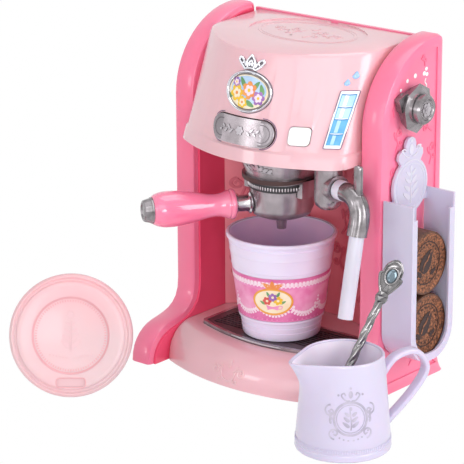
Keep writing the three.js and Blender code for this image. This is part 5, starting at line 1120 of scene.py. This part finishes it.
def build_pitcher():
    def skin(rows, capped=True):
        """Wall through rows of (height that gives the radius, inset, height where it differs)."""
        rings = []
        for z, inset, *level in rows:
            rings.append([PITCHER + polar(pitcher_radius(z, a, inset), a, *(level or [z]))
                          for a in circle(120, SPOUT)])
        return Shape().skin(rings, capped=capped)

    within = (70, 66, 62, 57, 52, 46, 40, 30, 18, 8)
    rows = [(0, 5.2, 0.7), (0, 4.2, 0), (0, 2.4, 0), (0, 1.3, 0.35), (0, 0.5, 1.1), (2.2, 0), (4.6, 0),
            (5.2, 0), (5.6, 0.3), (6.0, 0.3), (6.4, 0)]
    rows += [(z, 0) for z in (18, 30, 37, 42, 46, 50, 54, 58, 62, 65.5, 69, 71.5, 73.2)]
    rows += [(73.8, 0.3), (74, 0.9), (74, 1.5), (73.6, 2.0), (72.8, 2.2)] + [(z, 2.2) for z in within]
    rows += [(5, 2.8), (3.4, 4.2), (2.6, 6.4, 2.4), (0, 12, 2.2)]
    skin(rows).make("pitcher_body", LILAC, "pitcher", ["pitcher"], angle=45, slot="lilac")
    rows = [(z, 2.3) for z in (72.6, *within)] + [(5, 2.9), (3.4, 4.3), (2.6, 6.5, 2.5), (0, 12, 2.3)]
    # The pitcher's inside is lighter than its outside: painted light.
    skin(rows, False).make("pitcher_inside", PITCHER_INSIDE_PAINTED_LIGHT, "pitcher")
    build_pitcher_handle()
    ribs = Shape()
    for u in (2 * pi * PITCHER_ARM * i / 120 for i in range(120)):
        ribs.ribbon([(u, z) for z in (7.2, 8.4, 9.8)], 0.8, pitcher_at, 0.22, thick=0.3)
    ribs.lay("pitcher_ribs", LILAC, "pitcher")
    build_pitcher_emblem()


def build_pitcher_handle():
    """Band with full edges, 9 mm wide and 4.6 mm thick."""
    root, far = 30.1, 72.2
    curve = ((31.3, 48.8), (mix(root, far, 0.32), 62), (mix(root, far, 0.76), 64.2), (far, 49.5),
             (mix(root, far, 0.72), 31.8), (34.6, 10))
    path = spline([Vector((x, 0, z)) for x, z in curve], 14)
    place = Matrix.Translation(PITCHER) @ Matrix.Rotation(SPOUT + pi, 4, "Z")
    across = Vector((0, 1, 0))

    def full(half, share):
        return half * copysign(abs(share) ** 0.6, share)

    rings = []
    for i, p in enumerate(path):
        ahead = (path[min(i + 1, len(path) - 1)] - path[max(i - 1, 0)]).normalized()
        out = ahead.cross(across).normalized()
        rings.append([place @ (p + across * full(4.5, cos(a)) + out * full(2.3, sin(a)))
                      for a in circle(20)])
    Shape().skin(rings).make("pitcher_handle", LILAC, "pitcher", angle=50, slot="lilac")


def build_pitcher_emblem():
    """A ring round a leafy sprig, with curls and dots outside it."""
    emblem = Shape()

    def at(u, v, lift):
        return pitcher_at(u + 4.2, v + 3.4, lift)

    def line(path, width, closed=False):
        emblem.ribbon(path, width, at, 0.22, closed, 0.2)

    for r, width in ((12.6, 1.7), (10.6, 0.6)):
        line(ellipse(0, EMBLEM_V, r, r, 60), width, True)
    line([(0.5 * sin(v / 3), 22.4 + v) for v in range(0, 17, 2)], 1.0)
    for hand in (-1, 1):
        leaves = [(hand * (3.6 - 0.4 * step), v + 1.2, 6.6 - 0.9 * step, 2.5, pi / 2 - hand * 0.9)
                  for step, v in enumerate((25.4, 29.4, 33.2))]
        leaves += [(hand * 15.4, v, 5.0, 1.9, pi / 2 - hand * (0.9 - 0.35 * k))
                   for k, v in enumerate((35.4, 32.4, 29.4))]
        emblem.leaves(leaves, at, 0.22, 2, 0.2)
        for turn, size, way in ((0.35, 4.6, 1), (-0.75, 4.2, -1)):
            cu, cv = hand * 16.4 * cos(turn), EMBLEM_V + 16.4 * sin(turn)
            line(scroll(cu, cv, size, way * pi / 2, -way * hand, 1.1), 1.2)
        curl = ((0.8, 44.6), (4.2, 45.2), (7.2, 48.8), (5.2, 50.6), (4.0, 48.6))
        line(spline2([(hand * u, v) for u, v in curl], 6), 1.1)
        dots = [(hand * 9.6, 49.0, 0.9, 0.9, 10)]
        dots += [(16.6 * cos(a), EMBLEM_V + 16.6 * sin(a), 0.7, 0.7, 8)
                 for a in (hand * (0.12 + 0.2 * k) - pi / 2 for k in range(5))]
        emblem.ovals(dots, at, 0.24, 1, 0.2)
    emblem.ovals([(0, 38.6, 1.1, 1.6, 14), (0, 49.4, 1.7, 2.8, 16)], at, 0.24, 2, 0.2)
    emblem.ovals([(0, 54.2, 1.0, 1.0, 10)], at, 0.24, 1, 0.2).lay("pitcher_emblem", EMBLEM, "pitcher")


# Brew head and portafilter

HEAD = Matrix.Translation((0, -3.5, 0))
HEAD_ARM = 33
HEAD_NECK_Z, HEAD_BRIM_Z = 167.4, 182.85
HEAD_RELIEF_U = -50.0  # mm round the head from +x, to the left of its front
GRIP = HEAD @ spin(235, "Z") @ Matrix.Translation((0, 0, 141)) @ spin(90, "Y")
WAND = Matrix.Translation((66, -20, 167)) @ Matrix.Rotation(-0.2897, 4, "Z") @ spin(90, "Y")


def build_grip():
    curve = spline([Vector((r, 0, z)) for r, z in (
        (10.7, 46.2), (9.9, 48.6), (9.2, 52.0), (9.05, 56.5), (9.7, 61.5), (11.1, 68), (12.6, 75.5),
        (13.8, 83.5), (14.4, 91), (14.2, 97), (13.2, 101.6), (12.0, 104.2))], 5)
    profile = [(6.4, 39), (10.4, 39), (11.3, 39.2), (11.9, 39.9), (12.1, 40.8), (12.0, 41.9), (11.6, 42.7),
               (11.1, 43.0), (11.0, 43.6), (11.4, 44.0), (11.4, 44.8)]
    profile += [(p.x, p.z) for p in curve] + [(11.4, 105.2), (10.6, 105.5), (7.0, 105.5), (0, 105.5)]
    grip = Shape().lathe(profile, 72, GRIP)
    grip.make("grip_body", GRIP_PINK, "portafilter", ["portafilter_handle"], angle=40, slot="hot_pink")
    profile = [(0, 105.55), (10.6, 105.55), (10.7, 106.1), (10.5, 107.0), (10.0, 107.2), (8.7, 112.2),
               (8.0, 113.1), (7.0, 113.4), (6.4, 113.1), (6.0, 112.5), (0, 112.7)]
    cap = Shape().lathe(profile, 14, GRIP)
    cap.make("grip_cap", CHROME_DARK, "portafilter", ["handle_end_cap"], angle=12, slot="silver_grey_plastic")
    profile = [(6.0, 25.6), (8.6, 25.8), (8.8, 26.6), (7.2, 27.6), (6.6, 29), (6.5, 36.8), (7.6, 37.2),
               (7.9, 38.0), (7.6, 38.8), (6.0, 38.95), (6.0, 25.6)]
    Shape().lathe(profile, 64, GRIP).make("neck_sheath", BRIGHT_METAL, "portafilter", angle=30)


def build_head_details():
    """Toothed band of the collar, a dark band painted as shadow over the collar's top ring, relief and trim
    of the head.
    """
    ground = [(26.45, 153.6), (26.66, 153.8), (26.66, 159.4), (26.45, 159.5), (26.45, 153.6)]
    Shape().lathe(ground, 96, HEAD).make("basket_teeth_ground", DARK, "portafilter")
    teeth = Shape()
    for a in circle(72):
        place = HEAD @ Matrix.Rotation(a, 4, "Z")
        teeth.skin([[place @ Vector((26.6 + k * cos(t), 0.92 * k * sin(t), z)) for t in circle(8)]
                    for z, k in ((155.1, 0.3), (155.6, 0.62), (156.6, 0.72), (157.6, 0.62), (158.1, 0.3))])
    teeth.make("basket_teeth", WHITE_METAL, "portafilter", angle=60)
    # Painted shadow: a dark band over the front of the collar's top ring, thinning towards its ends.
    rings = []
    for share in (i / 30 for i in range(-30, 31)):
        a, low = radians(78 * share - 90), 161.3 + 3.2 * abs(share) ** 4
        rings.append([HEAD @ polar(r, a, z) for r, z in (
            (29.6, 164.95), (31.5, 164.9), (31.55, 164.4), (31.55, low + 0.3), (31.5, low), (29.6, low))])
    Shape().skin(rings).make("head_shadow_band", COLLAR_PAINTED_SHADOW, "machine", angle=30)

    def at(u, v, lift):
        r = mix(29.4, 36, (v - HEAD_NECK_Z) / (HEAD_BRIM_Z - HEAD_NECK_Z)) + lift
        return HEAD @ polar(r, u / HEAD_ARM, v)

    relief = Shape()
    for hand in (1, -1):
        relief.leaves([(HEAD_RELIEF_U + hand * (3.6 + 3.7 * k), 174.6 - 0.9 * k, 5.4, 2.7,
                        pi / 2 - hand * (0.75 + 0.35 * (k % 2))) for k in range(3)], at, 0.75, 3, 0.7)
    relief.leaves([(HEAD_RELIEF_U, 175.6, 7.0, 3.4, pi / 2)], at, 0.8, 3, 0.7)
    stem = [(HEAD_RELIEF_U + 1.3 * k, 171.6 - 0.012 * k ** 2) for k in range(-10, 11)]
    relief.ribbon(stem, 0.9, at, 0.5, thick=0.5).make("head_relief", GREY_LIGHT, "machine", angle=60)
    groove = [(36.1, 182.9), (36.35, 183.2), (36.35, 184.6), (36.1, 184.9), (35.7, 184.9), (35.7, 182.9),
              (36.1, 182.9)]
    Shape().lathe(groove, 96, HEAD).make("head_trim", GREY, "machine")


def build_wand_stub():
    """White sleeve of the wand where its tap comes out of the flange."""
    sleeve = [(5.7, 5.0), (7.5, 5.0), (7.8, 5.3), (7.8, 13.3), (7.6, 13.6), (7.0, 13.6), (5.7, 8.4),
              (5.7, 5.0)]
    Shape().lathe(sleeve, 48, WAND).make("wand_stub", LILAC_PALE, "steam_wand", angle=40)


TRAY_HALF = 66


def build_tray_trim():
    """Rolled edge along the bowed front of the drip tray."""
    path = [Vector((x, mix(-38.4, -16.7, (x / TRAY_HALF) ** 2), 30.2))
            for x in (3.1 * i for i in range(-20, 21))]
    Shape().tube(path, 1.25, 12).make("tray_trim", GREY_LIGHT, "machine", angle=60)


# Pods and holder

POD_X, POD_Y = 111.1, 17.3
POD_FACE, POD_SIDE = 16.2, 24.5
PLATE_X, PLATE_Y = 107.75, 21.4
BEAN_SPLIT = ((-5.6, -6.0), (-3.0, -0.6), (0.6, 2.0), (2.6, 5.0), (6.2, 9.4))


def build_pod(level, z):
    """Pod with a rough skin, a smooth band round it and a bean printed on its face."""
    body = f"{level}_pod"
    place = Matrix.Translation((POD_X, POD_Y, z)) @ spin(90, "Y")
    section = [(0, 1.2), (18, 1.2), (19.2, 1.0), (20.4, 0.4), (21.8, 0), (24.2, 0), (25.0, 0.5)]
    section += [(25.2, h) for h in (1.4, 5, 8.5, 12, 15.6)]
    section += [(25.0, 16.5), (24.2, 17), (23.4, 17), (22.6, 16.8), (21.8, 16.5)]
    section += [(r / 10, POD_FACE) for r in range(210, 6, -9)]
    rings = []
    for r, h in section:
        ring = []
        for a in circle(130):
            p = polar(r, a, h)
            lump = noise.noise(p * 0.62 + Vector((z, 0, 0))) * 0.42
            lump += noise.noise(p * 1.5 + Vector((0, z, 0))) * 0.34
            out = Vector((p.x, p.y, 0)).normalized() if r > POD_SIDE else Vector((0, 0, 1 if h > 8 else -1))
            ring.append(place @ (p - out * (0.42 - lump) * (1 if h == POD_FACE else 0.3)))
        rings.append(ring)
    Shape().skin(rings).make(f"pod_{level}", POD, body, [f"coffee_pod_{level}"], angle=80, slot="pod_brown")
    band = [(23.6, 16.9), (24.2, 17.05), (24.7, 17.0), (25.1, 16.6), (25.28, 15.5), (25.28, 1.5), (25.1, 0.5),
            (24.6, 1.2), (24.6, 15.4), (23.6, 16.0), (23.6, 16.9)]
    Shape().lathe(band, 96, place).make(f"pod_wrap_{level}", POD_RIM, body, angle=40)

    def at(u, v, lift):
        return Vector((POD_X + 16 + lift, POD_Y + u, z + v))

    Shape().ribbon(spline2(BEAN_SPLIT, 6), 1.5, at, 0.5).lay(f"pod_split_{level}", POD, body)
    drawing = Shape().leaves([(0, 1.5, 21, 13, 0.9)], at, 0.25, 5)
    drawing.leaves([(-9.4, -7.2, 8, 3.6, 2.4), (8.6, -8.2, 8, 3.6, 0.5)], at, 0.25, 3)
    drawing.ribbon(ellipse(0, 0, 17.0, 17.0, 64), 0.9, at, 0.2, closed=True)
    drawing.ovals([(u, v, 0.8, 0.8, 8) for u, v in ellipse(0, 0, 14.4, 14.4, 20)], at, 0.2, 1)
    drawing.lay(f"pod_print_{level}", POD_PRINT, body)


def build_plate():
    """Leafy relief on the plate over the pod holder."""
    def at(u, v, lift):
        return Vector((PLATE_X + lift, PLATE_Y + u, v))

    relief = Shape()
    relief.ribbon(ellipse(0, 167, 20.4, 20.4, 72), 0.9, at, 0.3, closed=True, thick=0.35)
    relief.ribbon(ellipse(0, 167, 17.8, 17.8, 72), 0.5, at, 0.25, closed=True, thick=0.3)
    relief.ribbon([(0.6 * sin(v / 4), 153 + v) for v in range(0, 29, 2)], 1.3, at, 0.45, thick=0.5)
    curl = ((2.0, 190.4), (6.0, 191.4), (10.6, 195.4), (9.8, 198.0), (6.6, 196.6))
    for hand in (-1, 1):
        relief.leaves([(hand * (5.6 - 0.7 * step), v + 2.6, 10.5 - 1.4 * step, 3.8 - 0.4 * step,
                        pi / 2 - hand * 0.95) for step, v in enumerate((157.5, 163.5, 169.5, 175.0))],
                      at, 0.5, 2, 0.6)
        relief.ribbon(spline2([(hand * u, v) for u, v in curl], 6), 1.1, at, 0.45, thick=0.5)
    relief.ovals([(0, 181.2, 1.6, 2.2, 16), (0, 196.0, 2.4, 4.4, 20), (0, 203.0, 1.4, 1.4, 14),
                  (-11.4, 197.0, 1.3, 1.3, 12), (11.4, 197.0, 1.3, 1.3, 12)], at, 0.5, 2, 0.5)
    relief.lay("plate_relief", LILAC_PALE, "pod_holder")


# Spoon

SPOON = Matrix.Translation((129.7, -115.4, 18.2)) @ spin(76.6, "Z") @ spin(32.4, "Y") @ spin(-36, "Z")
SHAFT_STEPS = 140
TWISTS = 2.4
KNOT_Z = 104
# Right half of the finial's outline, from its foot to its tip
FINIAL = [(1.9, 0), (3.9, 3.2), (5.95, 6.6), (8.1, 11.2), (9.5, 14.8), (9.5, 16.4), (8.9, 17.6), (7.9, 17.9),
          (7.4, 18.4), (7.5, 20.2), (7.3, 22.6), (6.4, 25.0), (4.8, 27.4), (2.8, 29.2), (1.2, 29.85)]


def build_spoon():
    rings = []
    for i in range(SHAFT_STEPS + 1):
        twist = 2 * pi * TWISTS * i / SHAFT_STEPS
        core = 2.35 + 0.5 * exp(-(i / 14) ** 2)
        lobes = [(core + 0.95 * abs(sin(1.5 * (a - twist))) ** 0.8, a) for a in circle(36)]
        z = mix(9.0, 103.5, i / SHAFT_STEPS)
        rings.append([SPOON @ polar(r, a, z) for r, a in lobes])
    Shape().skin(rings).make("spoon_shaft", SILVER, "spoon", ["spoon"], angle=60, slot="silver_spoon")
    knot = ((2.9, -5.4, 0), (4.3, -3.6, 0.39), (5.0, -0.6, 0), (4.9, 1.0, 0.39), (3.8, 3.4, 0),
            (2.4, 4.8, 0.39))
    rings = [[SPOON @ polar(r, a, KNOT_Z + z) for a in circle(8, turn)] for r, z, turn in knot]
    Shape().skin(rings).make("spoon_knot", SILVER, "spoon", angle=15)
    outline = FINIAL + [(0, 30)] + [(-u, v) for u, v in FINIAL[::-1]]
    front = [(1, 1.1), (0.985, 1.7), (0.94, 2), (0.86, 2), (0.8, 1.5)]
    rings = [[SPOON @ Vector((u * k, y, KNOT_Z + mix(15, v, k))) for u, v in outline]
             for k, y in [(k, -y) for k, y in front[::-1]] + front]
    Shape().skin(rings).make("spoon_finial", SILVER, "spoon", angle=35)
    dish = ((0.02, 4.95), (0.3, 4.75), (0.55, 4.15), (0.75, 3.3), (0.9, 2.15), (0.97, 1.2), (1, 0.4), (1, 0),
            (0.96, -0.1), (0.92, 0.2), (0.84, 1.4), (0.7, 2.4), (0.5, 3.2), (0.28, 3.65), (0.02, 3.8))
    rings = [[SPOON @ Vector((9 * s * cos(a), y, 13 * s * sin(a))) for a in circle(56)]
             for s, y in dish]
    Shape().skin(rings).make("spoon_bowl", SILVER, "spoon", angle=60)
    gems, rims = Shape(), Shape()
    for side in (-1, 1):
        def at(u, v, lift, side=side):
            return SPOON @ Vector((u * side, -side * (1.5 + lift), KNOT_Z + 15.5 + v))
        rims.ribbon(ellipse(0, 1.5, 4.9, 6.4, 40), 1.2, at, 0.75, closed=True, thick=1.0)
        rims.leaves([(0, -9.0, 7.0, 3.0, pi / 2)], at, 0.6, 2, 0.8)
        gems.skin([[at(u, v, lift) for u, v in ellipse(0, 1.5, 4.2 * k, 5.6 * k, 12)]
                   for k, lift in ((1, 0.2), (0.8, 1.0), (0.5, 1.4))])
    rims.make("finial_rim", SILVER, "spoon", angle=50)
    gems.make("finial_gem", LILAC_GEM, "spoon", angle=12)


for build in (build_badge, build_crest, build_button, build_window, build_gauge, build_drops, build_deck,
              build_reliefs, build_joint_strips, build_dial_marks, build_dial_relief, build_cup, build_lid,
              build_pitcher, build_grip, build_head_details, build_wand_stub, build_tray_trim):
    build()
build_pod("lower", 58.55)
build_pod("upper", 109.3)
build_plate()
build_spoon()

scene.view_settings.view_transform = "Standard"
